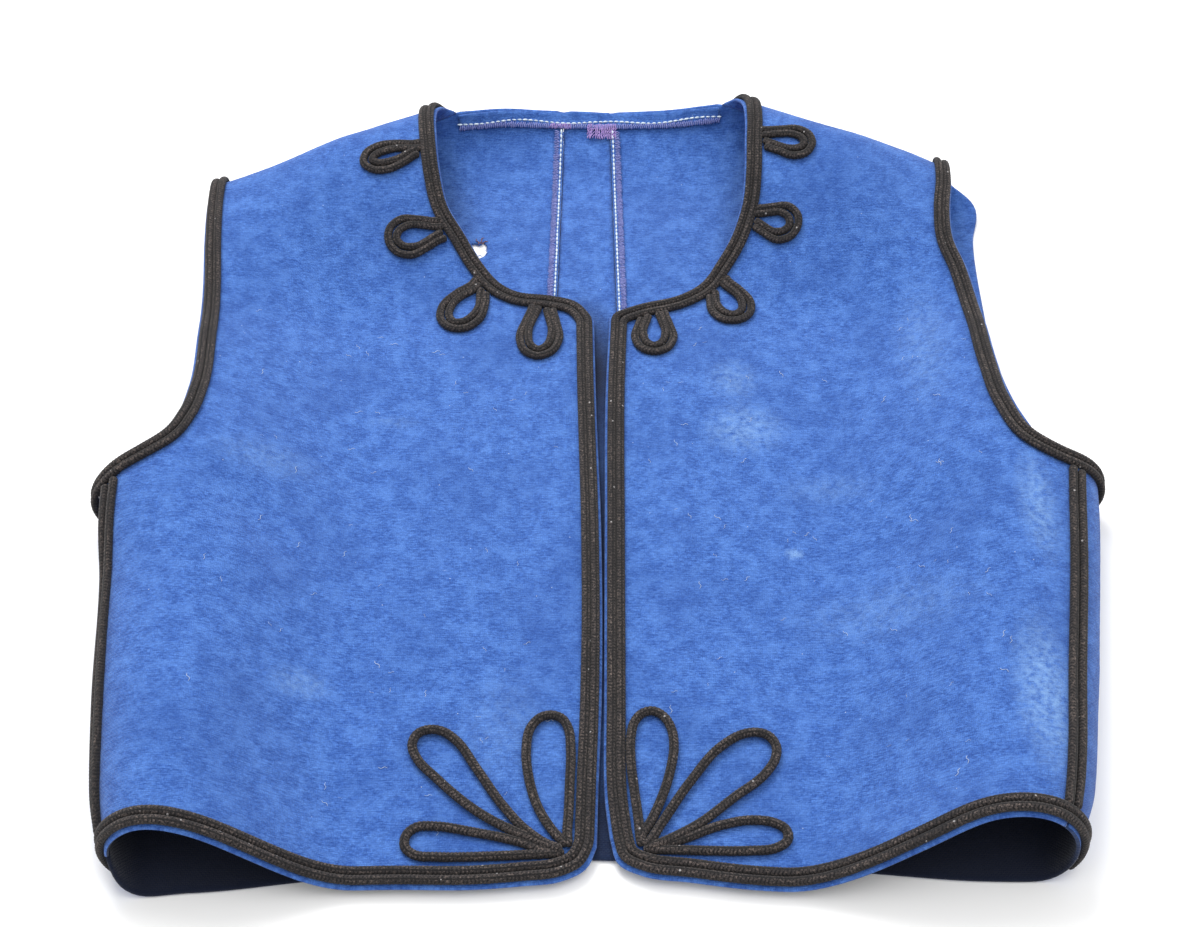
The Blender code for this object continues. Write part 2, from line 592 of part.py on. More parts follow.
def add_front(side, word):
    hem, opening = through(FRONT_HEM[side]), through([FRONT_HEM[side][-1]] + OPENING[side])
    neck = through([OPENING[side][-1]] + FRONT_NECK[side])
    armhole = through(FRONT_ARMHOLE[side])
    edge = np.concatenate([hem[:-1], opening[:-1], neck])
    ends = on_front(side, edge), on_front(side, armhole)
    shoulder_a = stations(ends[0][-1, 0], ends[1][0, 0], SHOULDER_STEP)
    shoulder = np.stack([shoulder_a, seam_up(side, shoulder_a) - SEAM_GAP / 2], axis=1)
    seam_b = stations(ends[1][-1, 1], ends[0][0, 1], SIDE_STEP)
    seam = np.stack([seam_across(side, seam_b) - SEAM_GAP / 2, seam_b], axis=1)
    cut = [thinned(front_cloth, mirrored(side, p)) for p in ends]
    pieces = [cut[0], mirrored(side, shoulder), cut[1], mirrored(side, seam)]
    outline = np.concatenate([p[:-1] for p in pieces])
    add_panel("front_" + word, front_cloth, outline, crossings(*grid_lines(front_cloth, side)), CLOTH_COLOUR, "blue cloth")

    cords = []
    low = edge[:, 1] < -0.190
    margin = np.where(low, CORD_MARGIN["hem"], CORD_MARGIN["opening"])
    margin = np.convolve(np.pad(margin, 12, mode="edge"), np.ones(25) / 25, mode="valid")
    for k, place in enumerate(("outer", "inner")):
        path = inset(edge, margin + CORD_RADIUS + k * CORD_PITCH, -1)
        path = path[path[:, 1] < seam_up(side, path[:, 0]) - SEAM_GAP]
        cords.append(path)
        add_cord(f"cord_edge_{place}_{word}", front_cloth, mirrored(side, path))
    for k, place in enumerate(("outer", "inner")):
        path = inset(armhole, CORD_MARGIN["opening"] + CORD_RADIUS + k * CORD_PITCH, -1)
        path = path[path[:, 1] < seam_up(side, path[:, 0]) - SEAM_GAP]
        cords.append(path)
        add_cord(f"cord_armhole_{place}_{word}", front_cloth, mirrored(side, path))
    for offset, place in ((-0.54, "front"), (0.54, "back")):
        line_b = np.arange(-0.225, 0.0, FINE)
        line = np.stack([seam_across(side, line_b) + offset * CORD_PITCH, line_b], axis=1)
        path = nestled(line, cords[:4])
        add_cord(f"cord_side_{place}_{word}", front_cloth, mirrored(side, path))
    for number, row in enumerate(NECK_LOOPS[side], 1):
        outer = nestled(loop(row, LOOP_FORM), cords[:2])
        inner = nestled(loop(row, LOOP_FORM, CORD_PITCH), cords[:2] + [outer])
        add_cord(f"cord_loop{number}_outer_{word}", front_cloth, mirrored(side, outer))
        add_cord(f"cord_loop{number}_inner_{word}", front_cloth, mirrored(side, inner))
    petals = cords[:2]
    for number, row in enumerate(PETALS[side], 1):
        path = nestled(through(row), petals)
        petals = petals + [path]
        add_cord(f"cord_petal{number}_{word}", front_cloth, mirrored(side, path))
    return edge, armhole


def crossing(side, line, seam):
    """Where a front's edge crosses the side or the shoulder seam, as a point of the back."""
    a, b = line.T
    past = a - seam_across(side, b) if seam == "side" else b - seam_up(side, a)
    k = int(np.argmax(np.diff(np.sign(past)) != 0))
    a, b = line[k]
    if seam == "side":
        return SIDE[side].length(b) - a, b
    return a - side * BACK_MIDDLE, SHOULDER[side].length(a) - b


def back_side_seam(side, first, last):
    b = stations(first, last, SIDE_STEP)
    return np.stack([SIDE[side].length(b) - seam_across(side, b) - SEAM_GAP / 2, b], axis=1)


def back_shoulder_seam(side, first, last):
    near = stations(first + side * BACK_MIDDLE, last + side * BACK_MIDDLE, SHOULDER_STEP)
    return np.stack([near - side * BACK_MIDDLE, SHOULDER[side].length(near) - seam_up(side, near) - SEAM_GAP / 2], axis=1)


def add_back(side, word, edge, armhole):
    at = {
        "hem": crossing(side, edge, "side"),
        "underarm": crossing(side, armhole[::-1], "side"),
        "tip": crossing(side, armhole, "shoulder"),
        "neck": crossing(side, edge[::-1], "shoulder"),
    }
    to_mm = {name: (a / MM, b / MM) for name, (a, b) in at.items()}
    hem = through(BACK_HEM[side] + [to_mm["hem"]])
    hole = through([to_mm["underarm"]] + BACK_ARMHOLE[side] + [to_mm["tip"]])
    neck = through([to_mm["neck"]] + BACK_NECK[::-1])
    split = np.interp(np.arange(-0.24, 0.24, FINE), *np.array([(v, u) for u, v in BACK_SEAM[side]]).T * MM)
    split = np.stack([split, np.arange(-0.24, 0.24, FINE)], axis=1)

    def past_split(line):
        return line[line[:, 0] > np.interp(line[:, 1], split[:, 1], split[:, 0]) + SEAM_GAP / 2]

    hem_out, neck_in = past_split(hem), past_split(neck)
    inner = split[(split[:, 1] > hem_out[0, 1]) & (split[:, 1] < neck_in[-1, 1])][::-1] + [SEAM_GAP / 2, 0]
    pieces = [
        hem_out,
        back_side_seam(side, at["hem"][1], at["underarm"][1]),
        hole,
        back_shoulder_seam(side, at["tip"][0], at["neck"][0]),
        neck_in,
        inner,
    ]
    seams = pieces[1], pieces[3]
    outline = [mirrored(side, p) if any(p is s for s in seams) else thinned(back_cloth, mirrored(side, p)) for p in pieces]
    outline = np.concatenate([p[:-1] for p in outline])
    moth = mirrored(side, (np.array(MOTH_HOLE_AT) + MOTH_HOLE) * MM) if side == RIGHT else None
    columns, rows = grid_lines(back_cloth, side)
    columns = columns[(abs(columns) < 0.020) | (abs(columns) > 0.085)]
    near_neck = crossings(side * np.array([30, 44, 57, 70]) * MM, rows[rows > 0.17])
    grid = np.concatenate([crossings(columns, rows), crossings(side * np.array([0.050]), rows[rows < 0.17]), near_neck])
    add_panel("back_" + word, back_cloth, outline, grid, CLOTH_COLOUR, "blue cloth", hole=moth)

    strip = split[(split[:, 1] > hem_out[0, 1] + 2 * MM) & (split[:, 1] < neck_in[-1, 1] - NECK_HEM - 2 * MM)]
    strip = thinned(back_cloth, mirrored(side, strip), tolerance=0.08 * MM, longest=40 * MM)
    wide = strip + [side * ALLOWANCE, 0]
    add_panel(
        "seam_allowance_" + word, back_cloth, np.concatenate([strip, wide[::-1]]), NO_GRID, SERGE_COLOUR,
        "serged edge", ALLOWANCE_WALL, -(WALL + ALLOWANCE_WALL) / 2 - INNER_GAP,
    )
    return hem, neck, split


def add_back_centre(hems, necks, splits):
    def between_splits(line):
        a, b = line.T
        low = -np.interp(b, splits[RIGHT][:, 1], splits[RIGHT][:, 0]) + SEAM_GAP / 2
        high = np.interp(b, splits[LEFT][:, 1], splits[LEFT][:, 0]) - SEAM_GAP / 2
        return line[(a > low) & (a < high)]

    hem = between_splits(np.concatenate([mirrored(RIGHT, hems[RIGHT])[::-1], hems[LEFT][1:]]))
    neck = between_splits(np.concatenate([necks[LEFT], mirrored(RIGHT, necks[RIGHT])[::-1][1:]]))
    sides = []
    for side, sign in ((LEFT, 1), (RIGHT, -1)):
        line = splits[side][(splits[side][:, 1] > hem[0, 1]) & (splits[side][:, 1] < neck[0, 1])]
        sides.append(mirrored(side, line - [SEAM_GAP / 2, 0])[::sign])
    outline = np.concatenate([thinned(back_cloth, p)[:-1] for p in (hem, sides[0], neck, sides[1])])
    rows = grid_lines(back_cloth, LEFT)[1]
    add_panel("back_centre", back_cloth, outline, crossings([0.0], rows), CLOTH_COLOUR, "blue cloth")


def add_neck_back(necks):
    """The turned hem inside the back of the neck, and the two cords outside it."""
    line = np.concatenate([necks[LEFT], mirrored(RIGHT, necks[RIGHT])[::-1][1:]])
    line = line[abs(line[:, 0]) < 0.056]
    top, low = inset(line, 0.4 * MM, 1), inset(line, NECK_HEM, 1)
    limits = {"tolerance": 0.08 * MM, "longest": 12 * MM}
    outline = np.concatenate([thinned(back_cloth, top, **limits), thinned(back_cloth, low, **limits)[::-1]])
    add_panel(
        "neck_hem", back_cloth, outline, NO_GRID, CLOTH_COLOUR, "blue cloth",
        ALLOWANCE_WALL, -(WALL + ALLOWANCE_WALL) / 2 - INNER_GAP,
    )
    whole = np.concatenate([necks[LEFT], mirrored(RIGHT, necks[RIGHT])[::-1][1:]])
    for k, place in enumerate(("outer", "inner")):
        path = inset(whole, CORD_MARGIN["opening"] + CORD_RADIUS + k * CORD_PITCH, 1)
        add_cord(f"cord_neck_{place}_back", back_cloth, path)


def main():
    for obj in list(bpy.data.objects):
        bpy.data.objects.remove(obj)
    vest = bpy.data.objects.new("vest", None)
    bpy.context.collection.objects.link(vest)
    hems, necks, splits = {}, {}, {}
    for side, word in ((RIGHT, "right"), (LEFT, "left")):
        edge, armhole = add_front(side, word)
        hems[side], necks[side], splits[side] = add_back(side, word, edge, armhole)
    add_back_centre(hems, necks, splits)
    add_neck_back(necks)


main()
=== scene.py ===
"""Embroidered folk vest of blue cloth lying open on its back: its looks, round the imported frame.

The flat cloth and its folds are worked out as in the part's source. Each panel becomes a finer
shell with its creases, each cord a plait along the same route, and the sewing is laid on top.
A point on a front is (across, up): its distance from the front opening, and its height above the
chest line, along the cloth. A point on the back is the same, from the middle of the back.
"""

import bpy
import numpy as np
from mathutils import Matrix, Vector
from mathutils.geometry import delaunay_2d_cdt


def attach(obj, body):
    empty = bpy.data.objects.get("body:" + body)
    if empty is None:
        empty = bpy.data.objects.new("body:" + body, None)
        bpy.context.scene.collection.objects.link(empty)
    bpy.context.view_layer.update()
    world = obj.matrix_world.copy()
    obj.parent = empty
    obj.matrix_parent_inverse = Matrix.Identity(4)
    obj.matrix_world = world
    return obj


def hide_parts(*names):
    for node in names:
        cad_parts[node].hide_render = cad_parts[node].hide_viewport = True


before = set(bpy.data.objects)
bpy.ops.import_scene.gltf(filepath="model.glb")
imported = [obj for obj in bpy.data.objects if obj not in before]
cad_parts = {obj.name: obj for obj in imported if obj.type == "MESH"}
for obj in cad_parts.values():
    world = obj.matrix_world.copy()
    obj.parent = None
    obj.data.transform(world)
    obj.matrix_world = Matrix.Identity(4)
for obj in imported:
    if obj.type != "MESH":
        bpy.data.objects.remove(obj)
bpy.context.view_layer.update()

MM = 0.001
RIGHT, LEFT = -1, 1                  # the wearer's sides, as the sign of X

WALL = 1.6 * MM                      # cloth
FRONT_LEVEL = 4.4 * MM               # middle of the front's cloth where it lies over the back
BACK_LEVEL = WALL / 2                # middle of the back's cloth on the table
BACK_MIDDLE = -7 * MM                # the middle of the back, off the front opening
SEAM_GAP = 0.3 * MM

CORD_RADIUS = 1.75 * MM
CORD_SIDES = 5
CORD_SEAT = 0.45 * MM                # from cloth to cord
CORD_PITCH = 3.8 * MM                # from one cord's middle to the next one's
CORD_LOWEST = 4.6 * MM               # middle of a cord where it ends, tucked under a fold
ALLOWANCE = 4.5 * MM                 # seam allowance pressed to one side, and its thickness
ALLOWANCE_WALL = 0.9 * MM
NECK_HEM = 9 * MM                    # turned edge inside the back of the neck
NECK_HEM_REACH = 74 * MM             # how far to each side it goes
INNER_GAP = 0.6 * MM                 # from the back's cloth to what is pressed against its inside
PRESSED_MIDDLE = -(WALL + ALLOWANCE_WALL) / 2 - INNER_GAP    # where that lies, outward from the back
PRESSED_FACE = -(WALL / 2 + INNER_GAP + ALLOWANCE_WALL)

FINE = 1 * MM                        # spacing of worked-out curves
CLOTH_STEP = 2.6 * MM                # spacing of the cloth's points, and of a narrow strip's
STRIP_STEP = 1.8 * MM
EDGE_ROUND = 0.5 * MM                # how far a free edge of cloth bulges
UNEVEN = 0.22 * MM                   # slow unevenness of the cloth: its height, waves and their lengths
WAVES, WAVE_LENGTH = 9, (0.035, 0.12)
PLAIT_STEP = 0.5 * MM                # the plait's rings, sides and strands
PLAIT_SIDES, PLAIT_COLUMNS = 12, 4
PLAIT_RADIUS, PLAIT_RELIEF = 1.92 * MM, 0.2 * MM
PLAIT_FLAT, PLAIT_SUNK = 0.86, 0.3 * MM   # how much it is pressed down, and how far it sinks for that
PLAIT_PITCH, PLAIT_LEAN = 1.5 * MM, 1.0
PRESSED = 2.7 * MM                   # nearest that the middles of two pressed cords come
PETAL_PITCH = 3.6 * MM               # from a petal to the cords round the edge
PETAL_RISE = 0.35 * MM               # how much higher each petal's cord lies where they meet
TUCKED = 1.9 * MM                    # how near a cord's end goes to the cord it ends under
END_ROUND = 1.4 * MM
THREAD = 0.8                         # mm from one thread of the weave to the next
STITCH_PITCH, SERGE_PITCH = 2.75 * MM, 1.0 * MM
TOPSTITCH_IN = 1.2 * MM              # topstitching beside the back's seams
SERGE_IN = 1.1 * MM                  # middle of the serging, inside the edge that it goes over
STITCH_RISE, SERGE_RISE, TACK_RISE = 0.1 * MM, 0.15 * MM, 0.3 * MM    # above the cloth they are sewn to
TACK_PITCH = 1.9                     # from one row of the purple sewing to the next, in mm
SIDE_CORDS = 0.54                    # from the side seam to each of its cords, in pitches of the cords
HEM_BELOW = -0.190                   # height in metres below which a front's edge counts as its hem

# Side folds, in mm: reach is how far out the fold comes, crest its height, inset how far the crest
# lies inside it, taper where the front starts to rise, nose the height of its outermost point, and
# tuck how far in the back leaves the table.
SIDE_FOLDS = {
    RIGHT: [
        # y, reach, crest, inset, taper, nose, tuck
        (-235, 181, 36, 24, 88, 18, 13),
        (-205, 186.5, 36, 24, 92, 18, 13),
        (-180, 193, 35.5, 25, 95, 17, 14),
        (-140, 199.5, 34, 28, 100, 16, 16),
        (-80, 206, 32, 32, 112, 15, 18),
        (-45, 215, 33, 33, 117, 16, 19),
        (-20, 219, 34, 34, 120, 16, 20),
        (40, 229, 28, 36, 125, 13, 17),
        (100, 231, 15, 36, 125, 8, 12),
        (160, 231, 4.4, 36, 125, 3, 6),
        (270, 231, 4.4, 36, 125, 3, 6),
    ],
    LEFT: [
        (-235, 171.5, 41, 26, 106, 18, 13),
        (-205, 178, 41, 26, 108, 18, 13),
        (-180, 188, 38, 28, 110, 17, 14),
        (-140, 196, 35, 30, 112, 16, 16),
        (-80, 206.5, 32, 32, 116, 15, 18),
        (-45, 212, 33, 33, 118, 16, 19),
        (-20, 214.5, 34, 34, 120, 16, 20),
        (40, 224, 28, 36, 125, 13, 17),
        (100, 226, 15, 36, 125, 8, 12),
        (160, 226, 4.4, 36, 125, 3, 6),
        (270, 226, 4.4, 36, 125, 3, 6),
    ],
}
# Shoulder folds, the same, with the ridge's distance up in place of the reach.
SHOULDER_FOLDS = {
    RIGHT: [
        # x, reach, crest, inset, taper, nose, tuck
        (0, 232, 40, 20, 120, 32, 64),
        (45, 221, 40, 20, 122, 29, 54),
        (66, 215, 39, 20, 125, 28, 46),
        (82, 209.5, 38.5, 20, 125, 25, 40),
        (120, 195, 37, 18, 118, 18, 34),
        (168, 174, 27, 14, 105, 13, 26),
        (192, 167, 22, 14, 100, 11, 22),
        (240, 158, 18, 14, 95, 9, 20),
    ],
    LEFT: [
        (0, 232, 40, 20, 120, 32, 64),
        (45, 221, 40, 20, 122, 29, 54),
        (66, 215, 39, 20, 125, 28, 46),
        (80, 210.5, 38.5, 20, 125, 25, 40),
        (120, 194, 38, 18, 118, 18, 34),
        (150, 184, 32, 17, 110, 16, 30),
        (172, 175, 27, 16, 105, 14, 28),
        (240, 162, 20, 14, 95, 10, 20),
    ],
}

# Edges of the fronts, (across, up) in mm. Each runs on past the seams onto the back.
FRONT_HEM = {
    RIGHT: [(236, -208), (215, -208), (201, -207), (181, -205), (162, -207.5), (142, -210.5),
            (112, -213.5), (77, -213.5), (50, -213.5), (31, -212), (16, -210), (7, -205), (3, -196)],
    LEFT: [(236, -208), (215, -207), (193, -205), (174, -203), (155, -203.5), (127, -209.5),
           (100, -213.5), (74, -214.5), (56, -213.5), (33, -210.5), (14, -207.5), (6, -203), (3, -193)],
}
OPENING = {
    RIGHT: [(2.6, -175), (1.3, -129), (1.0, -79), (1.6, -36), (3.6, 34), (4.6, 85)],
    LEFT: [(1.2, -175), (1.0, -129), (1.2, -79), (1.4, -36), (1.8, 34), (3.6, 87.5)],
}
FRONT_NECK = {
    RIGHT: [(12, 95), (26, 99.5), (41, 102), (47.5, 106), (58, 118), (67.3, 133.5), (75.5, 147), (79.7, 164),
            (82.3, 185), (83.2, 197), (82.5, 209), (79.5, 219), (74.5, 226), (67, 231), (58, 234.5),
            (48, 237)],
    LEFT: [(17, 93.5), (37, 100), (48.5, 109), (54.5, 118), (62, 131), (65.8, 141), (68.2, 150), (69.8, 165),
           (70.4, 182), (71, 198), (70.5, 209), (68, 219), (63.5, 227), (57, 232.5), (48, 236.5), (38, 239)],
}
FRONT_ARMHOLE = {
    RIGHT: [(194, 200), (193.5, 186), (193, 165), (192.5, 147), (191, 123), (189, 91), (188, 56),
            (188, 19), (191, 0), (195, -10), (204, -18), (216, -24), (226, -29), (240, -32), (252, -31)],
    LEFT: [(176.5, 202), (174, 194), (171, 178), (170, 158), (168, 143), (168, 124), (173, 106),
           (178, 74), (181, 36), (185, 7), (192, -11), (202, -18), (218, -21), (234, -25), (248, -27)],
}
# The side seam, as the distance across at two heights.
SIDE_SEAM = {
    RIGHT: [(217, 0), (216, -34), (213, -92), (206.5, -170), (203, -225)],
    LEFT: [(213, 0), (199, -90), (179, -225)],
}
PAST_SHOULDER = 2 * MM               # the shoulder seam lies this far behind the ridge
SIDE_SPAN, SHOULDER_SPAN = (-0.240, 0.270), (0.0, 0.240)    # how far the folds are worked out, in metres

# Edges of the back, between the points where the fronts' edges cross the seams.
BACK_ARMHOLE = {
    RIGHT: [(225, -30), (213, -30), (203, -20), (192, 0), (185, 25), (181, 60), (178, 100), (178, 140)],
    LEFT: [(235, -24), (224, -22), (214, -6), (203, 18), (196, 37), (191, 62), (189, 101), (190, 143),
           (193, 164)],
}
BACK_HEM = {
    RIGHT: [(0, -199), (55, -202), (105, -208), (150, -213), (178, -213)],
    LEFT: [(0, -199), (55, -201), (105, -204.5), (150, -208), (175, -208)],
}
BACK_NECK = [(0, 225.5), (25, 225), (42, 225)]
# The two seams down the back, as the distance to the right or left of its middle.
BACK_SEAM = {RIGHT: [(20, -197), (13, 221)], LEFT: [(20, -197), (11, 221)]}

# A moth hole beside the neck, in the right half of the back: outline round its middle.
MOTH_HOLE_AT = (54.5, 136)
MOTH_HOLE = [(4.4, 1.2), (3.6, 4.6), (1.6, 5.4), (-0.6, 4.4), (-2.6, 6.6), (-4.6, 3.4), (-5.0, -1.0),
             (-3.4, -4.6),
             (-0.6, -6.4), (2.6, -5.0)]

# Loops of two nested cords round the neck, in mm on the front's cloth.
NECK_LOOPS = {
    # base across, base up, tip across, tip up, width, width at the base
    RIGHT: [(87, 177.5, 118, 166.5, 17.5, 9), (76, 135, 105, 126, 22.5, 15),
            (57, 109, 73, 77.5, 23.5, 11), (28.5, 97, 30.5, 58.5, 22, 16)],
    LEFT: [(76, 183.5, 104.5, 178.5, 20, 14), (71.5, 142, 96, 134, 21.5, 16),
           (54.5, 111.5, 65, 82, 23, 12), (24.5, 93.5, 24, 60.5, 21.5, 16)],
}
LEG_PAST = 9                           # how far a loop's legs are drawn on past its foot, in mm
LEG_CLOSED = 0.16                      # part of its length over which they lie against each other
LEG_PITCH = 3.3                        # from an inner leg's middle to the outer one's, in mm
# Petals of one cord, fanning out of the lower corner of each front: their routes on its cloth, in mm.
PETALS = {
    RIGHT: [
        [(14, -197), (19, -191), (25.4, -180), (29.4, -166), (30.6, -154), (28.8, -143), (25, -138.6),
         (20.5, -137.6), (16.4, -139.4), (14, -144), (13, -153), (13.2, -170), (13.6, -184), (14, -192)],
        [(18, -198), (30, -192.8), (45.2, -184.6), (66.1, -166.6), (73.4, -158.7), (76, -152), (74.2, -147),
         (69.6, -144.9), (64, -145.8), (58.9, -149.6), (50, -162.6), (39, -179.4), (30, -190), (22, -196)],
        [(22, -198.5), (32, -195), (50.4, -190.6), (66, -187.9), (72, -188.2), (75.8, -191.6), (76, -197),
         (72, -200.4), (64, -201.2), (48, -201.2), (34, -200.6)],
    ],
    LEFT: [
        [(14.4, -195), (13.4, -184), (12, -172), (10.8, -158), (11, -148), (12.4, -141), (15.6, -136.8),
         (19.6, -135.6), (23.8, -137.8), (27.2, -144), (28, -152), (26.6, -162), (22.6, -176),
         (17.6, -187.5), (14.5, -193)],
        [(17, -196), (22, -188), (33.9, -168.9), (47.3, -152), (54.4, -147.3), (60.5, -145.9), (65.4, -147.3),
         (68.5, -151.8), (68, -158), (64, -164.6), (51.2, -175.6), (35.2, -188.6), (27, -193.2),
         (20, -196.5)],
        [(20, -197), (31, -193.6), (44.9, -188), (58, -185.6), (66.1, -186.8), (70.6, -190), (70.6, -194.4),
         (66, -197.6), (56, -198.8), (42, -198.8), (30, -198.4)],
    ],
}
PETAL_FOOT = {RIGHT: (13, -199.5), LEFT: (15, -198)}      # where they all start
# Half the outline of a loop: how far along it, and how much of its width it takes up there.
LOOP_FORM = [(0.40, 0.39), (0.70, 0.50), (0.92, 0.33)]

CORD_MARGIN = {"opening": 0.6 * MM, "hem": 0.9 * MM}   # cloth that shows past the outer cord
LOOP_NUDGE = 4.5 * MM                  # most that a cord is moved aside for one laid before it
STRAIGHT = 0.8                         # cosine of the most that this turns it

# Creases of the cloth, in mm on the flat cloth: their ends, half width, and depth (a ridge is negative).
CREASES = {
    "front_right": [
        # across, up, across, up, half width, depth
        (-118, 196, -134, 120, 7, 1.1),
        (-160, 150, -118, 60, 14, 1.2),
        (-186, -20, -120, -78, 12, 1.3),
        (-60, -60, -110, -150, 22, -1.1),
        (-30, 60, -90, 20, 20, 0.8),
        (-150, -120, -90, -190, 14, 0.9),
        (-96, 110, -60, 60, 12, 0.7),
    ],
    "front_left": [
        (96, 190, 120, 100, 10, 1.1),
        (165, 110, 120, 40, 14, 1.2),
        (182, -18, 110, -70, 13, 1.4),
        (40, -70, 120, -150, 24, 1.1),
        (160, -60, 168, -190, 10, 0.9),
        (30, 50, 80, -10, 18, -0.9),
        (84, 100, 60, 40, 12, 0.6),
    ],
    "back": [
        (3, 215, 1, 60, 2.2, 0.5),
        (-60, 150, -30, 90, 10, 0.5),
        (52, 170, 28, 80, 12, 0.6),
    ],
}
# Pale, worn patches of the fronts, in mm on the flat cloth.
WEAR = {
    "front_right": [
        # across, up, width, height, strength
        (-124, -126, 16, 9, 0.45), (-95, 20, 14, 5, 0.25), (-150, -15, 30, 12, 0.3), (-40, -140, 20, 30, 0.2),
    ],
    "front_left": [
        (64, 16, 22, 18, 0.6), (60, 46, 14, 16, 0.45), (178, -145, 14, 46, 0.75), (188, -50, 10, 34, 0.6),
        (82, -55, 5, 4, 0.8), (120, -90, 50, 18, 0.25), (150, 60, 16, 50, 0.3), (100, -20, 26, 10, 0.25),
    ],
}

# Short threads, in mm: what a stitch, a turn of serging and bits of fluff look like.
THREAD_PIECES = [
    # name, points, radius in metres
    ("stitch", [(-1.35, 0, -0.25), (-0.7, 0, 0.15), (0.7, 0, 0.15), (1.35, 0, -0.25)], 0.46 * MM),
    ("serge", [(-0.5, -1.5, -0.1), (-0.1, -0.7, 0.2), (0.3, 0.6, 0.2), (0.2, 1.5, 0.0)], 0.3 * MM),
    ("fibre", [(-1.5, 0.3, 0), (-0.5, -0.3, 0.15), (0.6, 0.2, 0.1), (1.5, -0.2, 0.05)], 0.07 * MM),
    ("frayed", [(-2.4, 0.4, 0), (-0.8, -0.5, 0.3), (0.9, 0.4, 0.2), (2.4, -0.3, 0.1)], 0.22 * MM),
]
# Purple thread where the seams of the back end at the neck hem: first and last across in mm, rows of it.
PURPLE_SEWING = [(-20, -9, 1), (-1, 15, 4)]
# Threads at the moth hole: across and up from its middle in mm, and which way each points in degrees.
MOTH_THREADS = [
    (1.5, 6.5, 75), (-0.5, 5.5, 120), (2.8, 5.0, 40), (-4.2, 2.0, 80), (4.3, -1.5, 100), (0.5, -4.8, 10),
    (-3.4, -3.2, 140),
]

# Fluff on the fronts: opposite corners of its box on the flat cloth in mm, bits of it, and seed.
FLUFF = [("right", (-170, -190), (-20, 80), 60, 5), ("left", (20, -190), (170, 80), 70, 6)]

CAMERA_ELEVATION, CAMERA_DISTANCE = 50, 0.885    # degrees above the table, and metres from the origin
CAMERA_FOCAL, IMAGE_WIDTH = 1970, 1200           # in pixels of the photograph
CAMERA_ACROSS = -1.35 * MM
FLOOR = 6.0
SKY = (0.25, 1.1)                                # strength of the sky's light, level and overhead
LIGHTS = [
    # name, place, size, power
    ("window", (-0.45, 1.0, 1.5), 0.9, 26),
    ("fill", (0.5, -0.3, 1.7), 1.0, 7),
]
BLUE = {
    # gap: the colour of the painted shade in the hollows between the threads of the weave
    "gap": (0.006, 0.026, 0.14, 1),
    "deep": (0.014, 0.062, 0.27, 1),
    "mid": (0.053, 0.158, 0.53, 1),
    "light": (0.105, 0.250, 0.65, 1),
    "worn": (0.21, 0.37, 0.66, 1),
    "lint": (0.50, 0.58, 0.72, 1),
    # shade: the colour of the painted shade on the insides, in the dark between front and back
    "shade": (0.002, 0.005, 0.018, 1),
}
CORD = {
    # the colour of the painted shade in the cord's hollows and on its sides and underside
    "painted_shade_colour": (0.002, 0.002, 0.003, 1),
    "brown": (0.034, 0.029, 0.029, 1),
    "worn": (0.165, 0.130, 0.115, 1),
    "black": (0.010, 0.009, 0.011, 1),
    "lint": (0.46, 0.44, 0.44, 1),
}
# Painted shade: dark ovals painted on the insides, where they lie in the dark between front and back, in mm
# on the flat cloth.
PAINTED_SHADE = {
    # across, up, width, height, strength
    "front inside, painted shade": [
        (-140, -200, 170, 130, 0.98), (140, -200, 170, 130, 0.98), (-190, 20, 60, 80, 0.8),
        (190, 20, 60, 80, 0.8),
    ],
    "back inside, painted shade": [
        (-150, -200, 130, 120, 0.99), (150, -200, 125, 120, 0.99), (-96, 130, 46, 95, 0.7),
        (108, 140, 46, 100, 0.7),
        (-3, -60, 30, 175, 0.98), (-3, 52, 26, 52, 0.95), (-3, -190, 60, 50, 0.9),
    ],
}


def hermite(values, slope, i, h, t):
    """A cubic curve from knot i on, at the part t of the distance h to the next knot."""
    return (
        (2 * t**3 - 3 * t**2 + 1) * values[i]
        + (t**3 - 2 * t**2 + t) * h * slope[i]
        + (3 * t**2 - 2 * t**3) * values[i + 1]
        + (t**3 - t**2) * h * slope[i + 1]
    )


def through(rows, step=FINE):
    """A smooth curve through the rows of a table in mm, as evenly spaced points in metres."""
    rows = np.array(rows, float) * MM
    knots = np.concatenate([[0], np.cumsum(np.hypot(*np.diff(rows, axis=0).T))])
    slope = np.gradient(rows, knots, axis=0)
    at = np.linspace(0, knots[-1], max(int(knots[-1] / step), 2) + 1)
    i = np.clip(np.searchsorted(knots, at) - 1, 0, len(knots) - 2)
    h = (knots[i + 1] - knots[i])[:, None]
    t = (at - knots[i])[:, None] / h
    return hermite(rows, slope, i, h, t)


def between(table, at, column=1):
    """A column of a table in mm, smoothly between its rows and never past them, at values of the first."""
    rows = np.array(table, float) * MM
    rows = rows[np.argsort(rows[:, 0])]
    x, y = rows[:, 0], rows[:, column]
    steep = np.diff(y) / np.diff(x)
    before, after = steep[:-1], steep[1:]
    level = before * after <= 0
    inner = np.where(level, 0, 2 * before * after / np.where(level, 1, before + after))
    slope = np.concatenate([steep[:1], inner, steep[-1:]])
    at = np.clip(at, x[0], x[-1])
    i = np.clip(np.searchsorted(x, at) - 1, 0, len(x) - 2)
    h = x[i + 1] - x[i]
    t = (at - x[i]) / h
    return hermite(y, slope, i, h, t)


